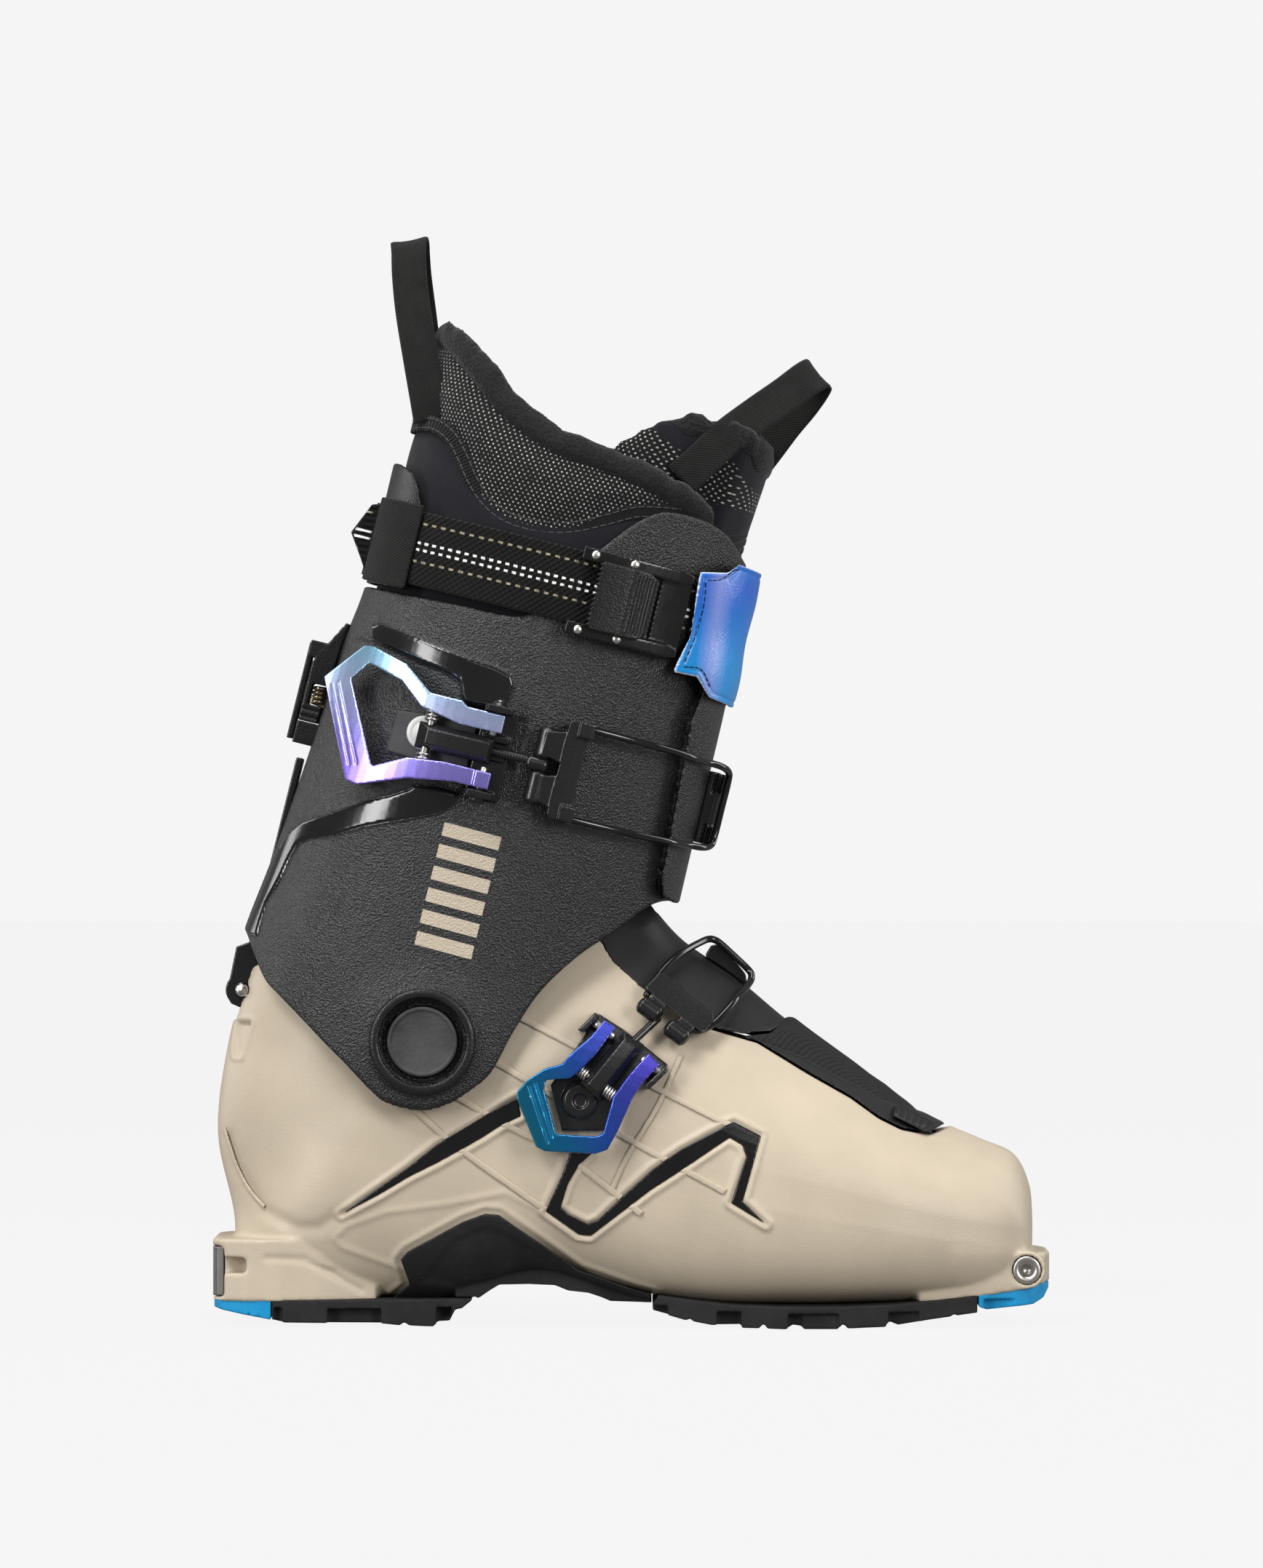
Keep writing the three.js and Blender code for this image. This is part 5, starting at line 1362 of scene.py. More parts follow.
def liner_paint(name, field, rim):
    """Smooth stretch cloth below, spacer mesh in the field and a soft looped rim."""
    p = Paint(name, (0.009, 0.009, 0.011), 0.85, specular_ior_level=0.15)
    p.soft_sheen(0.16, 0.4)
    in_field = p.range(p.mask("field"), -0.2, 0.3)
    in_rim = p.range(p.mask("rim"), 10.9, 10.3)
    along, across = p.cloth()
    fine = woven(p, 0.45, 0.05)
    plain = p.blend(p.range(fine, -1, 1), (0.006, 0.006, 0.009), (0.0125, 0.0125, 0.0165))
    step_a, step_b = field
    row = p.maths("FLOOR", p.maths("DIVIDE", across, step_b))
    odd = p.maths("MULTIPLY", p.maths("MODULO", p.maths("ABSOLUTE", row), 2.0), step_a / 2)
    fa = p.maths("SUBTRACT", p.maths("FRACT", p.maths("DIVIDE", p.maths("ADD", along, odd), step_a)), 0.5)
    fb = p.maths("SUBTRACT", p.maths("FRACT", p.maths("DIVIDE", across, step_b)), 0.5)
    da, db = p.maths("MULTIPLY", fa, step_a), p.maths("MULTIPLY", fb, step_b)
    far = p.maths("SQRT", p.maths("ADD", p.times(da, da), p.times(db, db)))
    dot = p.range(far, 0.42, 0.26)
    vary = p.range(p.noise(2.0, 2), 0.3, 0.72, 0.08, 0.9)
    mesh = p.blend(p.maths("MULTIPLY", dot, vary), p.blend(p.range(fine, -1, 1), (0.004, 0.004, 0.004),
                                                           (0.012, 0.0115, 0.011)), (0.62, 0.62, 0.6))
    p.bump(p.maths("MULTIPLY", p.maths("MULTIPLY", dot, in_field), -1.0), 0.25)
    loops = p.maths("ADD", p.cells(1.2), p.noise(0.8, 3))
    p.bump(p.maths("MULTIPLY", loops, in_rim), rim)
    edge = p.blend(p.range(loops, 0.4, 1.2), (0.005, 0.005, 0.0055), (0.0135, 0.013, 0.014))
    p.set("Base Color", p.blend(in_rim, p.blend(in_field, plain, mesh), edge))
    p.bump(p.noise(0.3, 4), 0.07)
    p.bump(p.noise(12, 2), 0.3)
    return p.material


LINER_PAINT = liner_paint("liner_cloth", (2.05, 1.3), 0.35)
liner = liner_solid()
puff(liner, 4.2, 2.2, collar_only)
biggest(soften(liner, 0.95, 4))
emboss(liner, liner_relief)
liner_points = coordinates(liner)
liner_leg, liner_flat = leg_view(liner_points), side_view(liner_points)
rim_gap = signed(liner_leg, ABOVE_RIM)
mark(liner, "rim", np.where(liner_leg[:, 1] > 150, rim_gap, 90))
mark(liner, "field", np.minimum(signed(liner_flat, [(172, 200), *TAPE[::-1].tolist(), (40, 200)]), rim_gap
                                - 10.6))
wrap_leg(liner)
finish_piece(liner, "liner", None, LINER_PAINT, ("liner_foot", "liner_cuff"))
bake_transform(liner)

tape = keep(leg_skin(-3.1, 120, 262), prism(strip_outline(TAPE, 2.9)))
cut(tape, leg_skin(-5.4, 110, 270), leg_block(56, 100, -31, 31, 40, 260))
soften(tape, 0.5, 2)
tape_flat = side_view(coordinates(tape))
nearest = np.argmin(np.hypot(tape_flat[:, None, 0] - TAPE[None, :, 0], tape_flat[:, None, 1]
                             - TAPE[None, :, 1]), axis=1)
ahead = ((tape_flat - TAPE[nearest]) * directions(TAPE)[nearest]).sum(axis=1)
lay_cloth(tape, run_along(TAPE)[nearest] + ahead, distance_to(tape_flat, TAPE))
finish_piece(tape, "liner_tape", "cuff", TAPE_WEBBING)

tape_face = surface(leg_skin(-2.95, 120, 262))
threads = []
for side in (-1, 1):
    for gap in (-1.7, 1.7):
        row = [tape_face(x, z, side) for x, z in beside(TAPE, gap)[14:]]
        threads += stitches([p for p in row if p is not None])
finish_piece(gather(threads), "liner_stitches", "cuff", GREY_THREAD)

# ---------- liner tongue ----------
TONGUE_TOP = [(90, 228), (70.3, 231), (69.6, 234), (63.6, 237), (50.3, 240.6)]
LINER_TONGUE = [(20, 98), (90, 98), *TONGUE_TOP, (39.6, 238), (21, 230)]
ABOVE_TONGUE = [(-82, 300), (39.6, 238), *TONGUE_TOP[::-1], (90, 300)]


def liner_tongue_relief(points, facing):
    leg = leg_view(points)
    front = ramp(facing[:, 0], 0.1, 0.5) * ramp(leg[:, 0], 30, 50)
    from_top = signed(leg, ABOVE_TONGUE)
    out = front * 1.1 * np.sqrt(np.clip(1 - ((from_top - 4.0) / 4.0) ** 2, 0, 1))
    ribs = 0.35 * np.sin((leg[:, 1] - 0.25 * points[:, 1]) * 2 * math.pi / 3.1)
    return out + ramp(facing[:, 0], 0.0, 0.4) * ribs * ramp(203 - leg[:, 1], 0, 3)


LINER_WING = [(30, 170), (90, 170), *TONGUE_TOP, (39.6, 240),
              (30, 236), (21, 229), (13, 220), (10, 208), (16, 190)]
liner_tongue = leg_band(-4.3, -15.8, LINER_TONGUE)
cut(liner_tongue, rod_y(*PIVOT, 95.7, sides=160), leg_skin(-10.6, 80, 168))
keep(liner_tongue, leg_block(20, 100, -30.3, 30.3, 90, 250))
join(liner_tongue, leg_band(-12.4, -16.2, LINER_WING))
biggest(liner_tongue)
puff(liner_tongue, 3.6, 1.6, collar_only)
soften(liner_tongue, 0.8, 4)
emboss(liner_tongue, liner_tongue_relief)
tongue_leg = leg_view(coordinates(liner_tongue))
from_top = signed(tongue_leg, ABOVE_TONGUE)
mark(liner_tongue, "rim", from_top + 2.5)
mark(liner_tongue, "field", np.minimum(from_top - 14, tongue_leg[:, 1] - 209))
lay_cloth(liner_tongue, coordinates(liner_tongue)[:, 1] - tongue_leg[:, 0], tongue_leg[:, 1])
stand_in(liner_tongue, "liner_tongue", LINER_PAINT)

# ---------- inside the foot ----------
for node, material in (("boot_board", GREY_PLASTIC), ("insole", FOAM)):
    piece = copy(frame["nodes"][node])
    piece.data.transform(TO_ROW.inverted())
    soften(piece, 1.0, 2)
    inside_points = coordinates(piece)
    lay_cloth(piece, inside_points[:, 0], inside_points[:, 1])
    stand_in(piece, node, material)

# ---------- pull loops ----------
REAR_LOOP = [(77.5, -26, 321), (76, -24.5, 330), (73.4, -20, 345), (70.6, -13.4, 362), (69.3, -8.4, 375),
             (69.1, -4, 383.2), (69.3, -0.2, 385.4), (69.8, 3.4, 383), (70.6, 6.6, 374), (72.4, 8.4, 360),
             (74.6, 8.8, 343), (77, 8, 330), (78.5, 7, 321)]
FRONT_LOOP = [(166, -40, 299.5), (172, -37.5, 305), (182, -31, 314.5), (193, -22, 323), (203.5, -13, 330.6),
              (211, -6.6, 336.4), (214.6, -2.2, 338.2), (214.6, 1.2, 336), (210, 4, 329), (203, 4.6, 320.5),
              (197, 3.8, 312.5), (192, 2.6, 306)]
for node, path, across, half in (("rear_pull_loop", REAR_LOOP, (1, -0.5, 0.16), 6.9),
                                 ("front_pull_loop", FRONT_LOOP, (-0.62, 0, 0.78), 6.5)):
    stand_in(ribbon(path, across, half, 1.4), node, LOOP_WEBBING)

# ---------- power strap ----------
STRAP_MIDDLE = 168


def strap_paint_coordinates(piece):
    points = coordinates(piece)
    leg = leg_view(points)
    around = np.arctan2(points[:, 1], leg[:, 0] - LEG_MIDDLE) * 57
    lay_cloth(piece, around, leg[:, 1] - STRAP_MIDDLE)


def strap_relief(points, facing):
    leg = leg_view(points)
    sag = 0.5 * np.sin(leg[:, 0] * 0.13 + 1) * np.cos((leg[:, 1] - STRAP_MIDDLE) * 0.12)
    return sag * (np.abs(points[:, 1]) > 20) * ramp(np.abs(leg[:, 1] - STRAP_MIDDLE), 13, 11)


strap = leg_band(2.4, 0.5, [(-90, 155), (90, 155), (90, 181), (-90, 181)], 0, 30)
tip = prism([(64, 291.5), (56.4, 291.3), (48.9, 281.4), (52.4, 271.8), (54, 266.8), (64, 264.5)], -21, -19)
join(strap, tip)
soften(strap, 0.6, 1)
strap_paint_coordinates(strap)
emboss(strap, strap_relief)
stand_in(strap, "power_strap", STRAP_WEBBING)

keeper = leg_band(4.4, 2.5, [(-61, 153), (-45, 153), (-45, 183), (-61, 183)], 1)
soften(keeper, 0.5, 3)
keeper_leg = leg_view(coordinates(keeper))
lay_cloth(keeper, keeper_leg[:, 1], keeper_leg[:, 0])
stand_in(keeper, "strap_keeper", LOOP_WEBBING)

# ---------- strap buckle and pull tab ----------
CAM = [(21.6, 154.6), (38.6, 154.8), (41.6, 157), (41.6, 176.6), (38.6, 178.8), (21.6, 178.9)] + [
    (20 + 1.6 * ((k + 1) % 2), 178.6 - 0.9 * k) for k in range(27)]


def buckle_frame():
    body = leg_band(4.6, 2.6, [(40, 152), (53.5, 152), (53.5, 182), (40, 182)], 1, 40)
    for low, high in ((178, 182.6), (151.4, 156)):
        plate = leg_band(6.4, 2.6, [(13.5, low), (50, low), (53.5, low + 1), (53.5, high - 1), (50, high),
                                    (13.5, high)], 1, 30)
        join(body, plate)
    join(body, leg_band(5.4, 2.6, [(42.6, 155), (53.4, 155), (53.4, 179), (42.6, 179)], 1, 40))
    join(body, leg_band(0.6, 0.2, [(14, 152), (46, 152), (46, 182), (14, 182)], 1, 20))
    return biggest(body)


stand_in(soften(buckle_frame(), 0.45, 2), "strap_buckle_frame", SMOOTH_BLACK)
rivets = []
rivet_face = surface(leg_skin(6.2, 140, 200))
for u, w in ((18, 180.4), (32, 180.4), (18, 153.6), (32, 153.6)):
    spot = leg_at(rivet_face, u, w)
    rivets.append(turned_y(spot.x, spot.z, [(0, spot.y - 0.9), (1.2, spot.y - 0.75), (1.7, spot.y - 0.1),
                                            (1.7, spot.y + 1), (0, spot.y + 1)], 24))
finish_piece(gather(rivets), "strap_buckle_rivets", "cuff", STEEL)


def cam_relief(points, facing):
    leg = leg_view(points)
    front = ramp(-facing[:, 1], 0.3, 0.6)
    ribs = np.sin((leg[:, 0] - 34.2) * 2 * math.pi / 1.15) * ((leg[:, 0] > 34.2) & (leg[:, 0] < 41.1))
    return front * (0.28 * ribs * ramp(np.abs(leg[:, 1] - 166.8), 10.6, 10.0) - 0.35 * np.exp(
        -((leg[:, 0] - 33.4) / 0.5) ** 2))


cam = leg_band(9.0, 5.6, CAM, 1, 60)
part(cam, "strap_cam", BLACK_PLASTIC, 0.32, 1, cam_relief)

TAB = [(55, 183.7), (64.3, 186.1), (67.6, 190.3), (90, 188.6), (90, 140.6), (77.3, 140.6), (68.5, 141.8),
       (62.6, 148.1), (54.3, 147.6), (56.7, 161)]
tab = keep(leg_band(6.2, 3.9, TAB, 0, 60), leg_block(0, 100, -90, 6, 100, 220))


def tab_paint():
    p = Paint("pull_tab_leather", (0.1, 0.35, 0.8), 0.32, specular_ior_level=0.6)
    x, _, z = p.parts(p.place)
    height = p.range(z, 0.219, 0.268)
    shade = p.ramp(height, (0, srgb(30, 140, 215)), (0.3, srgb(0, 140, 215)), (0.6, srgb(0, 120, 215)),
                   (0.85, srgb(20, 95, 205)), (1, srgb(15, 110, 205)))
    # A soft lighter diagonal band across the tab is a painted highlight.
    highlight_band = p.maths("ABSOLUTE", p.maths("SUBTRACT", p.maths("SUBTRACT", x, 0.0262),
                                        p.maths("MULTIPLY", height, 0.006)))
    shade = p.blend(p.maths("MULTIPLY", p.range(highlight_band, 0.0055, 0.0005), 0.75), shade, srgb(140, 155, 228))
    back = p.range(p.mask("back"), 0.3, 0.7)
    edge = p.range(p.mask("edge"), 0.5, 0.1)
    shade = p.blend(edge, shade, srgb(205, 215, 225))
    p.set("Base Color", p.blend(back, shade, (0.012, 0.012, 0.012)))
    p.set("Roughness", p.blend(back, p.patches(6, 3, 0.24, 0.4), (0.9, 0.9, 0.9)))
    p.bump(p.cells(0.9), 0.05)
    p.bump(p.noise(3, 3), 0.05)
    return p.material


soften(tab, 0.5, 1)
tab_leg = leg_view(coordinates(tab))
mark(tab, "back", (outward(coordinates(tab), coordinates(tab, "normal")) < -0.1).astype(float))
mark(tab, "edge", -signed(tab_leg, TAB))
emboss(tab, lambda points, facing: -0.35 * np.exp(-((signed(leg_view(points), TAB) + 2) / 0.5) ** 2)
       + 0.35 * np.sin(leg_view(points)[:, 1] * 0.22))
stand_in(tab, "strap_pull_tab", tab_paint())
tab_face = surface(leg_skin(6.5, 130, 200))
inner = [(57.6, 181.5), (63, 183.4), (66.4, 187.6), (69.2, 188.4)]
lower = [(58.6, 161), (56.9, 150), (63.5, 150.6), (69, 144.4)]
rows = []
for line in (inner, [(57.6, 181.5), (59, 172), (58.6, 161), (57, 150)], lower[1:]):
    spots = [leg_at(tab_face, u, w) for u, w in smooth_line(line, 24)]
    rows += stitches([s for s in spots if s is not None], 1.7, 0.8, 0.2)
finish_piece(gather(rows), "pull_tab_stitches", "cuff", THREAD)


# ---------- walk lock behind the cuff ----------
LEG_B = LEG.inverted() @ Vector((LINK[0], 0, LINK[1]))
BAR_U = -68.8


def leg_rod_y(u, w, r, y0, y1, sides=48):
    return turned_y(u, w, [(0, y0), (r, y0), (r, y1), (0, y1)], sides, LEG)


bar = prism([(LEG_B.x - 6, LEG_B.z + 1), (BAR_U, 15), (BAR_U, 86), (BAR_U + 2.6, 86), (BAR_U + 2.6, 17),
             (LEG_B.x + 5.7, LEG_B.z + 1)], -6.6, 6.6, LEG)
join(bar, leg_rod_y(LEG_B.x, LEG_B.z, 6, -6.6, 6.6))
join(bar, prism([(4.3, 118), (5.6, 113.8), (9, 112.3), (14.4, 113), (17.2, 116), (16.4, 126), (13, 136),
                 (7.6, 134)], -6.6, 6.6))
cut(bar, leg_rod_y(LEG_B.x, LEG_B.z, 2.55, -20, 20))
for w in (30, 46, 62):
    cut(bar, leg_block(BAR_U - 1, BAR_U + 1, -3.6, 3.6, w, w + 11))
stand_in(soften(bar, 0.4, 2), "walk_bar", BLACK_METAL)

guide = cut(leg_block(-71.6, -61.9, -8.25, 8.25, 91, 99), leg_block(-69.6, -61.5, -7.1, 7.1, 90, 100))
for w in (93.4, 96.6):
    cut(guide, leg_block(-72, -71.1, -7, 7, w - 0.5, w + 0.5))
stand_in(soften(guide, 0.35, 2), "lock_guide", BLACK_PLASTIC)
collar = leg_block(-71.4, -61.9, -7.4, 7.4, 114, 119.5)
cut(collar, leg_block(-72, -70.9, -6, 6, 116.1, 117.4))
stand_in(soften(collar, 0.35, 2), "lock_collar", BLACK_METAL)
housing = leg_block(-71.4, -61.6, -8.6, 8.6, 99.2, 136.6)
cut(housing, leg_prism([(-80, 119.5), (-72, 119.5), (-62.4, 138), (-80, 140)]))
for k in range(6):
    u, w = -71.4 + 1.5 * k, 121.6 + 2.8 * k
    cut(housing, leg_block(u - 1.5, u + 0.5, -20, 20, w - 0.6, w + 0.6))
cut(housing, leg_block(-69.2, -50, -6.6, 6.6, 90, 128), leg_block(-69.4, -63.4, -20, 20, 105.4, 113))
cut(housing, leg_block(-75, -68, -6.4, 6.4, 90, 140))
for w in (100.4, 103):
    cut(housing, leg_block(-72, -60, -9, -8, w, w + 0.9), leg_block(-72, -60, 8, 9, w, w + 0.9))
for side in (-1, 1):
    join(housing, leg_block(-73.6, -62, side * 7.6 - 0.9, side * 7.6 + 0.9, 122, 128))
cut(housing, leg_skin(GAP, 60, 150))
stand_in(soften(housing, 0.38, 2), "lock_housing", BLACK_PLASTIC)
lever = leg_block(-74, -71.9, -6, 6, 92, 127)
cut(lever, leg_block(-80, -60, -2.5, 2.5, 96, 108))
for k in range(5):
    cut(lever, leg_block(-75, -73.6, -5, 5, 112.4 + 2.6 * k, 113.6 + 2.6 * k))
stand_in(soften(lever, 0.32, 2), "walk_lever", BLACK_PLASTIC)
turns = np.linspace(0, 4 * 2 * math.pi, 160)
coil = np.column_stack([-66 + 2.6 * np.cos(turns), 2.6 * np.sin(turns), np.linspace(105.7, 112.3, 160)])
coil = [tuple(LEG @ Vector(p)) for p in coil]
stand_in(tube(coil, 0.7, 12), "lock_spring", BRASS)


# ---------- buckles ----------
def engrave(lines, depth, width, view):
    """Relief of grooves along lines, on faces that look outwards."""
    def height(points, facing):
        flat = view(points)
        front = ramp(-facing[:, 1], 0.3, 0.7)
        out = np.zeros(len(points))
        for line in lines:
            out -= ridge(flat, line, depth, width)
        return out * front
    return height


UPPER_LEVER = [(-65.2, 116.2), (-53.4, 130.3), (-50.1, 130.6), (-37.2, 127.3), (-26.7, 119.6), (-15, 119.6),
               (-12.8, 118), (1, 118), (1, 111.6), (-14.3, 111.4), (-28.8, 114.2), (-37.5, 121.3),
               (-50.2, 124.6), (-55.3, 117.6), (-40.7, 89.8), (-29.3, 95.7), (-16.1, 97.3), (1, 97.3),
               (1, 91.3), (-11.7, 91.3), (-27.6, 88.4), (-44.2, 82), (-48.5, 82.7)]
HINGE = (-2, -60.5)
UPPER_ROD_Y = -57.3
upper_lever = leg_band(9.6, 5.2, UPPER_LEVER, 1, 70)
join(upper_lever, leg_block(-4.6, 1, -62.9, -58.1, 91.3, 97.3), leg_block(-4.6, 1, -62.9, -58.1, 111.6, 118))


def rod_w(u, y, r, w0, w1, sides=40):
    """A pin along the leg."""
    return tube([tuple(LEG @ Vector((u, y, w))) for w in np.linspace(w0, w1, 6)], r, sides)


stand_in(emboss(soften(biggest(upper_lever), 0.38, 3), engrave(
    [[(-61.6, 113.9), (-48.7, 88.5)], [(-59.4, 115.2), (-46.2, 89.4)]], 0.35, 0.42, leg_view)),
    "upper_lever", UPPER_BLUE)

base = leg_band(2.6, 0.4, [(-7, 87), (5.5, 88), (5.5, 120), (-7, 121)], 1, 40)
for w in (88, 118.6):
    join(base, leg_block(-6, 3, -64, -53, w, w + 2.4))
for w in (103, 109.5):
    join(base, leg_block(-5, 4, -56.5, -52, w - 1.2, w + 1.2))
for w0, w1 in ((108.2, 110.8), (118.8, 121.6), (86.6, 90.2), (98.2, 100.4)):
    join(base, rod_w(HINGE[0], HINGE[1], 2.9, w0, w1))
part(base, "upper_buckle_base", BLACK_METAL)

slider = leg_band(2.2, 0.35, [(-37, 96), (-8, 95), (-8, 114), (-37, 111)], 1, 40)
part(slider, "upper_slider_plate", GREY_PLASTIC)
disc_face = surface(leg_skin(2.2, 80, 130))
spot = disc_face(75.5, 210)
disc = turned_y(75.5, 210, [(0, spot.y - 0.9), (3.4, spot.y - 0.9), (3.4, spot.y - 0.3), (4.2, spot.y - 0.3),
                            (5.6, spot.y - 0.5), (6, spot.y + 0.2), (6, spot.y + 1.5), (0, spot.y + 1.5)], 48)
WHITE_PLASTIC = moulded("white_plastic", (0.62, 0.62, 0.6), 0.4, 0.6, 0.03, 0.05, 0.4)
finish_piece(disc, "upper_slider_disc", "cuff", WHITE_PLASTIC)

for node, w0, w1 in (("upper_hinge_pin_a", 110.6, 122.5), ("upper_hinge_pin_b", 86.5, 98.6)):
    stand_in(rod_w(HINGE[0], HINGE[1], 1.35, w0, w1), node, STEEL)
stand_in(rod_w(-24, -56.6, 1.3, 92, 117), "upper_link_pin", STEEL)

link = join(leg_band(6.8, 3, [(-27.8, 99.8), (-0.6, 100.2), (-0.6, 109.4), (-27.8, 109.2)], 1, 12),
            leg_band(8.9, 3, [(-24.5, 102), (-2.4, 102.2), (-2.4, 107.2), (-24.5, 107)], 1, 12))
stand_in(soften(hull(link), 0.32, 1), "upper_link", BLACK_METAL)


def spring(line_start, line_end, r, wire_r, turns_count, matrix=None):
    """A coil of wire round the line between two points."""
    a, b = Vector(line_start), Vector(line_end)
    axis = (b - a).normalized()
    first = axis.orthogonal().normalized()
    second = axis.cross(first)
    path = []
    for k in range(turns_count * 20 + 1):
        angle = k / 20 * 2 * math.pi
        point = a.lerp(b, k / (turns_count * 20)) + first * math.cos(angle) * r + second * math.sin(angle) * r
        path.append(tuple(matrix @ point if matrix else point))
    return tube(path, wire_r, 8)


coils = [spring((-24, -56.6, 110), (-24, -56.6, 115.4), 2.2, 0.5, 4, LEG),
         spring((-24, -56.6, 93), (-24, -56.6, 98.8), 2.2, 0.5, 4, LEG)]
finish_piece(gather(coils), "upper_link_springs", "upper_lever", STEEL)

thread_u = np.linspace(-5.6, 14.6, 60)
rod = tube([tuple(LEG @ Vector((u, UPPER_ROD_Y, 105))) for u in thread_u], 1.4, 32)
stand_in(rod, "upper_rod", BLACK_METAL)
screw_thread = spring((0, UPPER_ROD_Y, 105), (13.5, UPPER_ROD_Y, 105), 1.42, 0.22, 13, LEG)
finish_piece(screw_thread, "upper_rod_thread", "upper_link", BLACK_METAL)

yoke = leg_band(7.6, 3.6, [(23, 88.4), (24, 87), (30, 86.6), (31, 88), (31, 121.6), (30, 122.8),
                           (24.6, 122.6), (23.4, 121.4)], 1, 50)
for w0, w1 in ((91.6, 101.2), (107.6, 117)):
    join(yoke, leg_band(7.2, 3.8, [(16.4, w0 + 0.8), (25, w0 - 1.4), (25, w1 + 1.4), (16.4, w1 - 0.8)], 1,
                        20))
    join(yoke, rod_w(16.9, -56.2, 3.5, w0, w1))
for low, high in ((87, 92.5), (117, 122.6)):
    join(yoke, leg_band(9.2, 3.6, [(27.2, low), (32.6, low), (32.6, high), (27.2, high)], 1, 12))
part(yoke, "upper_yoke", BLACK_METAL, 0.33, 5)
pins = [rod_w(16.9, -56.2, 1.7, w0 - 0.5, w1 + 0.5) for w0, w1 in ((91.2, 101.6), (107.2, 117.4))]
ball = tube([tuple(LEG @ Vector((u, UPPER_ROD_Y, 104.4))) for u in np.linspace(12.4, 18.6, 9)], 2.5, 32)
finish_piece(gather([ball]), "upper_rod_end", "upper_link", BLACK_METAL)
finish_piece(gather(pins), "upper_yoke_pins", "upper_link", DARK_STEEL)
wire_face = surface(leg_skin(5.75, 60, 150))
low = [leg_at(wire_face, u, w) for u, w in ((26, 88.3), (34, 88.35), (42, 88.4), (49, 88.5), (56, 88.6),
                                            (67, 89), (74, 89.5))]
high = [leg_at(wire_face, u, w) for u, w in ((74, 119.6), (67, 120), (56, 120.4), (49, 120.5), (42, 120.6),
                                             (34, 120.65), (26, 120.7))]
front = [LEG @ Vector(p) for p in ((79.5, -17, 89.9), (82.2, -11, 91.5), (82.6, -9, 95), (82.6, -9, 105),
                                   (82.6, -9, 114), (82.2, -11, 117.6), (79.5, -17, 119.2))]
stand_in(tube(smooth_path([p for p in low + front + high if p is not None], 0.7), 1.25, 20), "upper_bail",
         GLOSS_METAL)

catch = join(leg_block(70, 79.2, -5.4, 6, 91, 117), leg_block(70, 83, -5.4, 6, 110, 116.8),
             leg_block(70, 83, -5.4, 6, 91, 97.6))
join(catch, tube([tuple(LEG @ Vector((77.6, -0.6, w))) for w in np.linspace(97, 110.6, 8)], 4.5, 48))
cut(catch, leg_skin(GAP + FLAP_WALL + 0.05, 60, 150))
for w0, w1 in ((109, 118), (90, 98.4)):
    for u in (78.2, 80.1, 82.0):
        cut(catch, leg_block(u - 0.45, u + 0.45, -6, -4.4, w0, w1))
    for y in (-3.4, -0.8, 1.8, 4.4):
        cut(catch, leg_block(82, 84, y - 0.5, y + 0.5, w0, w1))
part(catch, "upper_catch", BLACK_METAL)


# ---------- instep buckle ----------
pin_face = surface(foot_skin(6))
hinge_a, hinge_b = pin_face(139.5, 105), pin_face(155, 93.2)
hinge_run = (hinge_b - hinge_a).normalized()
link_a = pin_face(129, 92.5)
rod_a, rod_b = pin_face(148, 100.4), surface(foot_skin(5.2))(158, 109.6)
rod_run = (rod_b - rod_a).normalized()


def pin_along(start, run, low, high, r, sides=40):
    return tube([tuple(start + run * t) for t in np.linspace(low, high, 6)], r, sides)


lower_base = foot_plate([(124, 70), (139, 70), (147, 84), (161.5, 93), (146.5, 105), (137, 111), (120, 86)],
                        2.4, GAP)
for ear in ([(131.5, 104.4), (137.3, 110.4), (135.7, 111.6), (129.6, 105.6)],
            [(153, 86), (160, 92.6), (161.6, 91.4), (154.6, 84.6)]):
    join(lower_base, foot_plate(ear, 8.6, GAP))
dish = pin_face(130.5, 80.5)
join(lower_base, turned_y(130.5, 80.5, [(0, dish.y + 2.9), (2.2, dish.y + 2.9), (2.8, dish.y + 1.9),
                                        (5.4, dish.y + 1.9), (6.4, dish.y + 3), (6.6, dish.y + 6),
                                        (0, dish.y + 6)], 64))
LOWER_LEVER = [(143, 106.4), (139, 109), (134, 103), (127, 97), (124, 93.6), (118, 92), (112, 88),
               (108.3, 84), (108.3, 81), (115, 64.5), (118, 63), (136, 62.2), (140, 63.6), (143.6, 70),
               (149, 82), (152, 86.5), (158.4, 93.4), (154.6, 97.4), (150.4, 93), (147, 89), (142, 82),
               (138.6, 69.4), (136, 68.2), (122, 69), (117.8, 84.5), (118.5, 88), (127, 88.6), (130, 91),
               (136, 97)]
for degrees in (25, 50, 75, 92, 110):
    swung = foot_plate(LOWER_LEVER, 9.9, 5.2)
    swung.data.transform(Matrix.Translation(hinge_a) @ Matrix.Rotation(math.radians(degrees), 4, -hinge_run)
                         @ Matrix.Translation(-hinge_a))
    cut(lower_base, swung)
cut(lower_base, foot_skin(GAP - 0.05))
part(lower_base, "lower_buckle_base", BLACK_METAL)

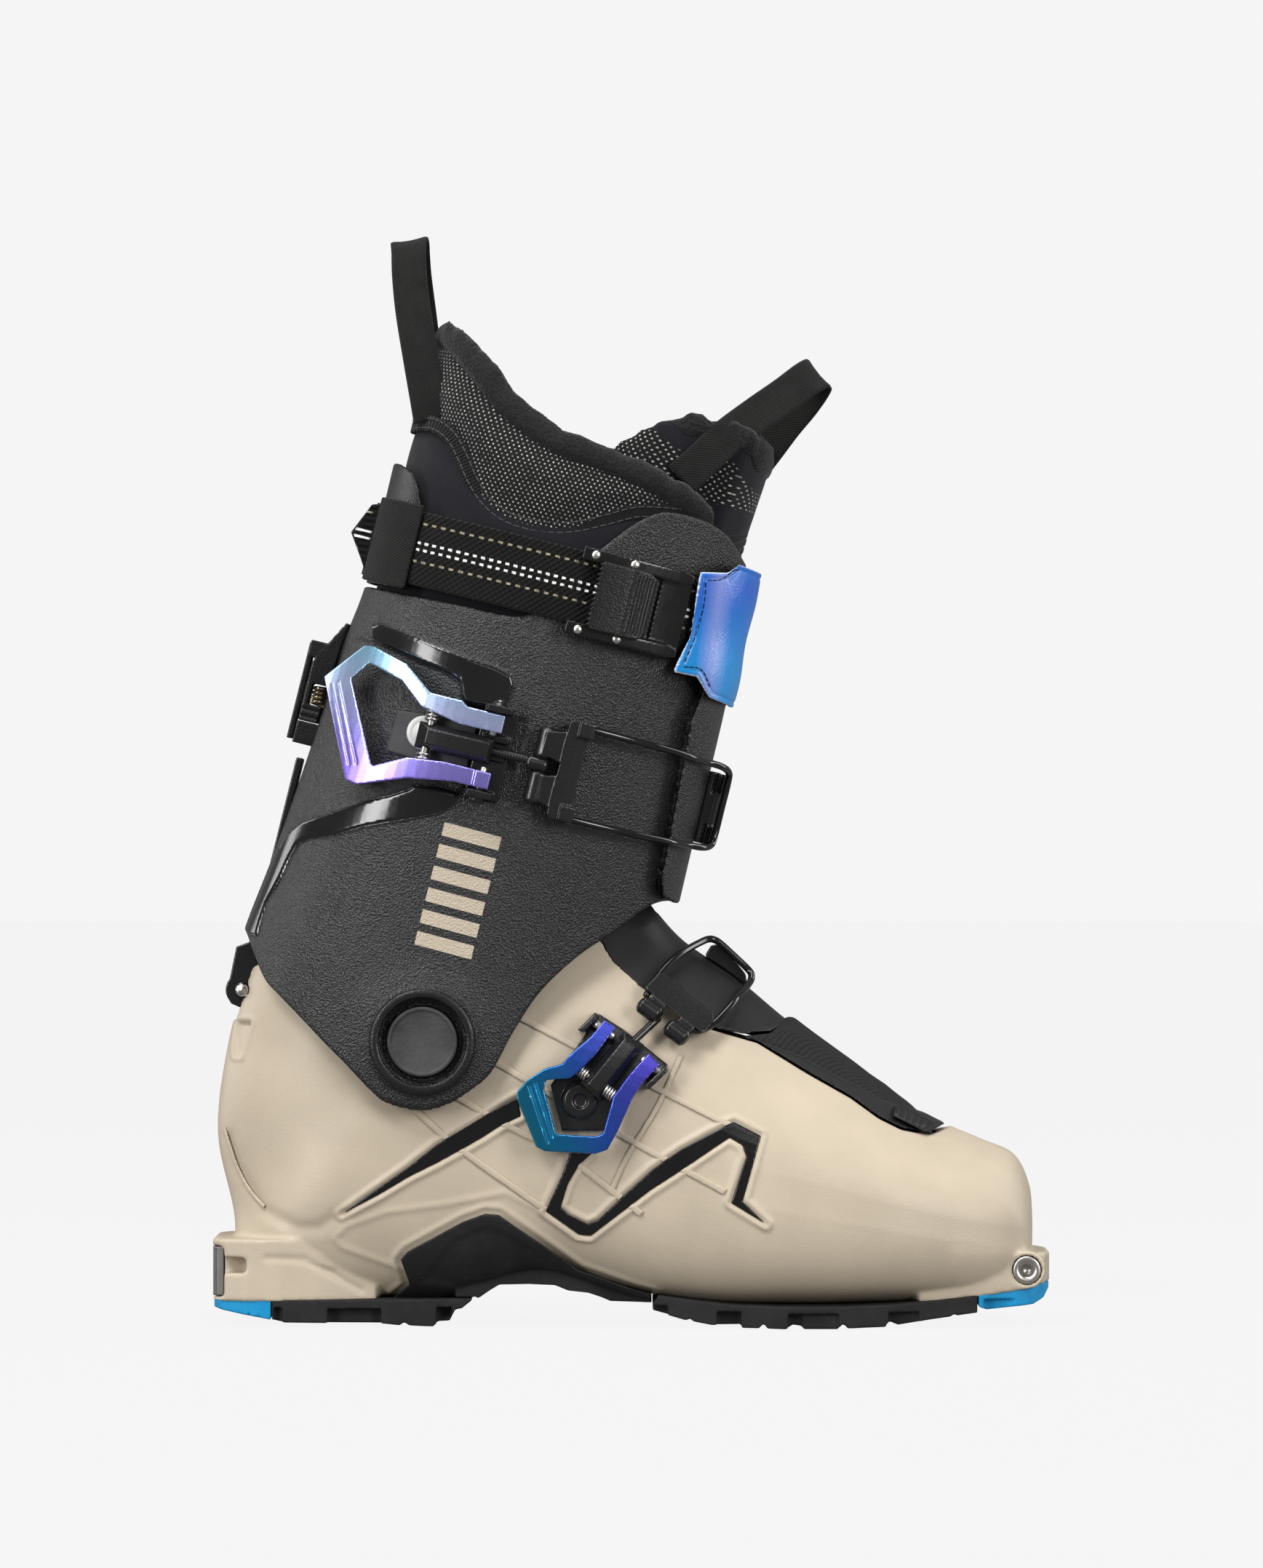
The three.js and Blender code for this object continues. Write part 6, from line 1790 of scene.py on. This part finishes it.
lower_lever = soften(biggest(foot_plate(LOWER_LEVER, 9.4, 5.4)), 0.36, 3)
emboss(lower_lever, engrave([[(112.4, 86), (119, 66)], [(114.6, 87), (120.6, 68)]], 0.3, 0.4, side_view))
stand_in(lower_lever, "lower_lever", LOWER_BLUE)
stand_in(pin_along(hinge_a, hinge_run, -5.2, 3.4, 1.4), "lower_hinge_pin_a", STEEL)
stand_in(pin_along(hinge_b, hinge_run, -3.4, 5.2, 1.4), "lower_hinge_pin_b", STEEL)
stand_in(pin_along(link_a, hinge_run, 0, 18.5, 1.25), "lower_link_pin", STEEL)
coils = [spring(link_a + hinge_run * a, link_a + hinge_run * b, 2.0, 0.45, 4) for a,
         b in ((1.2, 5.4), (13.2, 17.4))]
finish_piece(gather(coils), "lower_link_springs", "lower_lever", STEEL)
lower_link = join(foot_plate([(130.4, 86.8), (137.2, 80.8), (153, 100.2), (145.8, 105.2)], 6.6, 3),
                  foot_plate([(133.4, 86.6), (136.8, 83.8), (149.6, 99.6), (146, 102.2)], 8.9, 3))
stand_in(soften(hull(lower_link), 0.32, 1), "lower_link", BLACK_METAL)
stand_in(pin_along(rod_a, rod_run, -0.5, (rod_b - rod_a).length, 1.4), "lower_rod", BLACK_METAL)
lower_yoke = foot_plate([(153.4, 120.4), (154.4, 119), (160, 114.4), (168, 108.4), (173, 104.6), (175, 105),
                         (177.6, 109.4), (177, 111.4), (160, 125), (158, 125.4)], 7.2, 3.4)
for a, b in (((152.8, 115.2), (157, 109.6)), ((162.2, 107.2), (166.6, 101.6))):
    middle = ((a[0] + b[0]) / 2, (a[1] + b[1]) / 2)
    join(lower_yoke, foot_plate([a, (a[0] - 0.4, a[1] - 3), (b[0] - 3, b[1] - 0.6), b, (b[0] + 6, b[1] + 6.4),
                                 (a[0] + 6, a[1] + 4)], 7, 3.4))
    barrel = pin_face(*middle)
    join(lower_yoke, pin_along(barrel, hinge_run, -3.4, 3.4, 3.3))
part(lower_yoke, "lower_yoke", BLACK_METAL, 0.33, 5)
heads = [pin_along(pin_face(*place), hinge_run, -4.2, 4.2, 1.6) for place in ((154.9, 112.4), (164.4, 104.4))]
finish_piece(gather(heads), "lower_yoke_pins", "lower_link", DARK_STEEL)

bail_face = surface(foot_skin(5))
rear_wire = [bail_face(x, z) for x, z in ((153.6, 117.2), (155.6, 120.8), (158, 124.4), (161.6, 128.4),
                                          (166, 132))]
front_wire = [bail_face(x, z) for x, z in ((185.6, 116), (181, 111), (176.6, 107), (172, 105),
                                           (168.6, 105.6))]
bend = [Vector(p) for p in ((174.6, -11, 136.4), (177, -9.2, 136.8), (179.4, -8.8, 135.8), (185, -8.6, 130.8),
                            (190, -8.6, 126), (191.2, -9.6, 124.2), (190.8, -12, 121.8))]
stand_in(tube(smooth_path(rear_wire + bend + front_wire, 0.7), 1.25, 20), "lower_bail", GLOSS_METAL)
INSTEP_CATCH = [(176.4, 126), (187.4, 118.4), (189.8, 121.2), (189.2, 124.2), (183.4, 131.6), (179.4, 134.6),
                (177, 134.2), (175, 131)]
instep_catch = cut(prism(INSTEP_CATCH, -5.6, 12), foot_skin(0.45))
for y in (-2.6, 1.4, 5.4, 9.4):
    cut(instep_catch, prism([(180, 134), (189, 124), (193, 123.4), (182, 138)], y - 0.6, y + 0.6))
part(instep_catch, "instep_catch", BLACK_METAL)


# ---------- floor, light and camera ----------
def studio():
    """A wide plain floor. It and the world look the same pale grey to the camera, and light the boot less."""
    paper = Paint("paper", (0.016, 0.016, 0.016), 0.95, specular_ior_level=0.0)
    paper.bump(paper.noise(3, 3), 0.02)
    paper.set("Base Color", paper.blend(paper.noise(400, 2), (0.015, 0.015, 0.015), (0.017, 0.017, 0.017)))
    paper.set("Emission Color", (1.0, 1.0, 1.0))
    paper.set("Emission Strength", paper.range(paper.node("LightPath").outputs["Is Camera Ray"], 0, 1, 0.24,
                                               0.89))
    floor = new_mesh("floor", [(-9, -9, 0), (9, -9, 0), (9, 9, 0), (-9, 9, 0)], [(0, 1, 2, 3)])
    floor.data.materials.append(paper.material)

    world = bpy.data.worlds.new("studio")
    bpy.context.scene.world = world
    world.use_nodes = True
    nodes, links = world.node_tree.nodes, world.node_tree.links
    path, strength = nodes.new("ShaderNodeLightPath"), nodes.new("ShaderNodeMapRange")
    strength.inputs["To Min"].default_value = 0.2
    strength.inputs["To Max"].default_value = 0.913
    links.new(path.outputs["Is Camera Ray"], strength.inputs["Value"])
    links.new(strength.outputs["Result"], nodes["Background"].inputs["Strength"])
    nodes["Background"].inputs["Color"].default_value = (1, 1, 1, 1)


def lamp(name, place, aim, width, height, power, colour=(1, 1, 1)):
    light = bpy.data.lights.new(name, "AREA")
    light.shape = "RECTANGLE"
    light.size, light.size_y = width, height
    light.energy = power
    light.color = colour
    lamp_object = bpy.data.objects.new(name, light)
    lamp_object.location = place
    lamp_object.rotation_euler = (Vector(aim) - Vector(place)).to_track_quat("-Z", "Y").to_euler()
    bpy.context.scene.collection.objects.link(lamp_object)


studio()
lamp("key", (-0.9, -1.2, 1.9), (0, 0, 0.17), 0.7, 0.7, 30)
lamp("left", (-1.7, -1.6, 0.7), (0, 0, 0.17), 0.5, 1.3, 30)
lamp("right", (1.6, -1.8, 0.8), (0, 0, 0.17), 0.7, 1.3, 34)
lamp("front", (0.1, -2.6, 1.7), (0, 0, 0.17), 1.2, 0.6, 5)
lamp("rim_left", (-1.4, 0.7, 0.6), (0, 0, 0.17), 0.35, 1.4, 7)
lamp("rim_right", (1.4, 0.5, 0.6), (0, 0, 0.17), 0.3, 1.4, 8)
lamp("top", (0.15, -0.2, 2.0), (0, 0, 0.2), 1.1, 0.8, 20)

camera = bpy.data.cameras.new("camera")
camera.lens = 200
camera.sensor_width = 36
eye = bpy.data.objects.new("camera", camera)
distance = 0.554 * 200 / 36
eye.location = (0, -distance - 0.03, 0.192)
eye.rotation_euler = (math.pi / 2, 0, 0)
bpy.context.scene.collection.objects.link(eye)
bpy.context.scene.camera = eye
bpy.context.scene.view_settings.view_transform = "Standard"
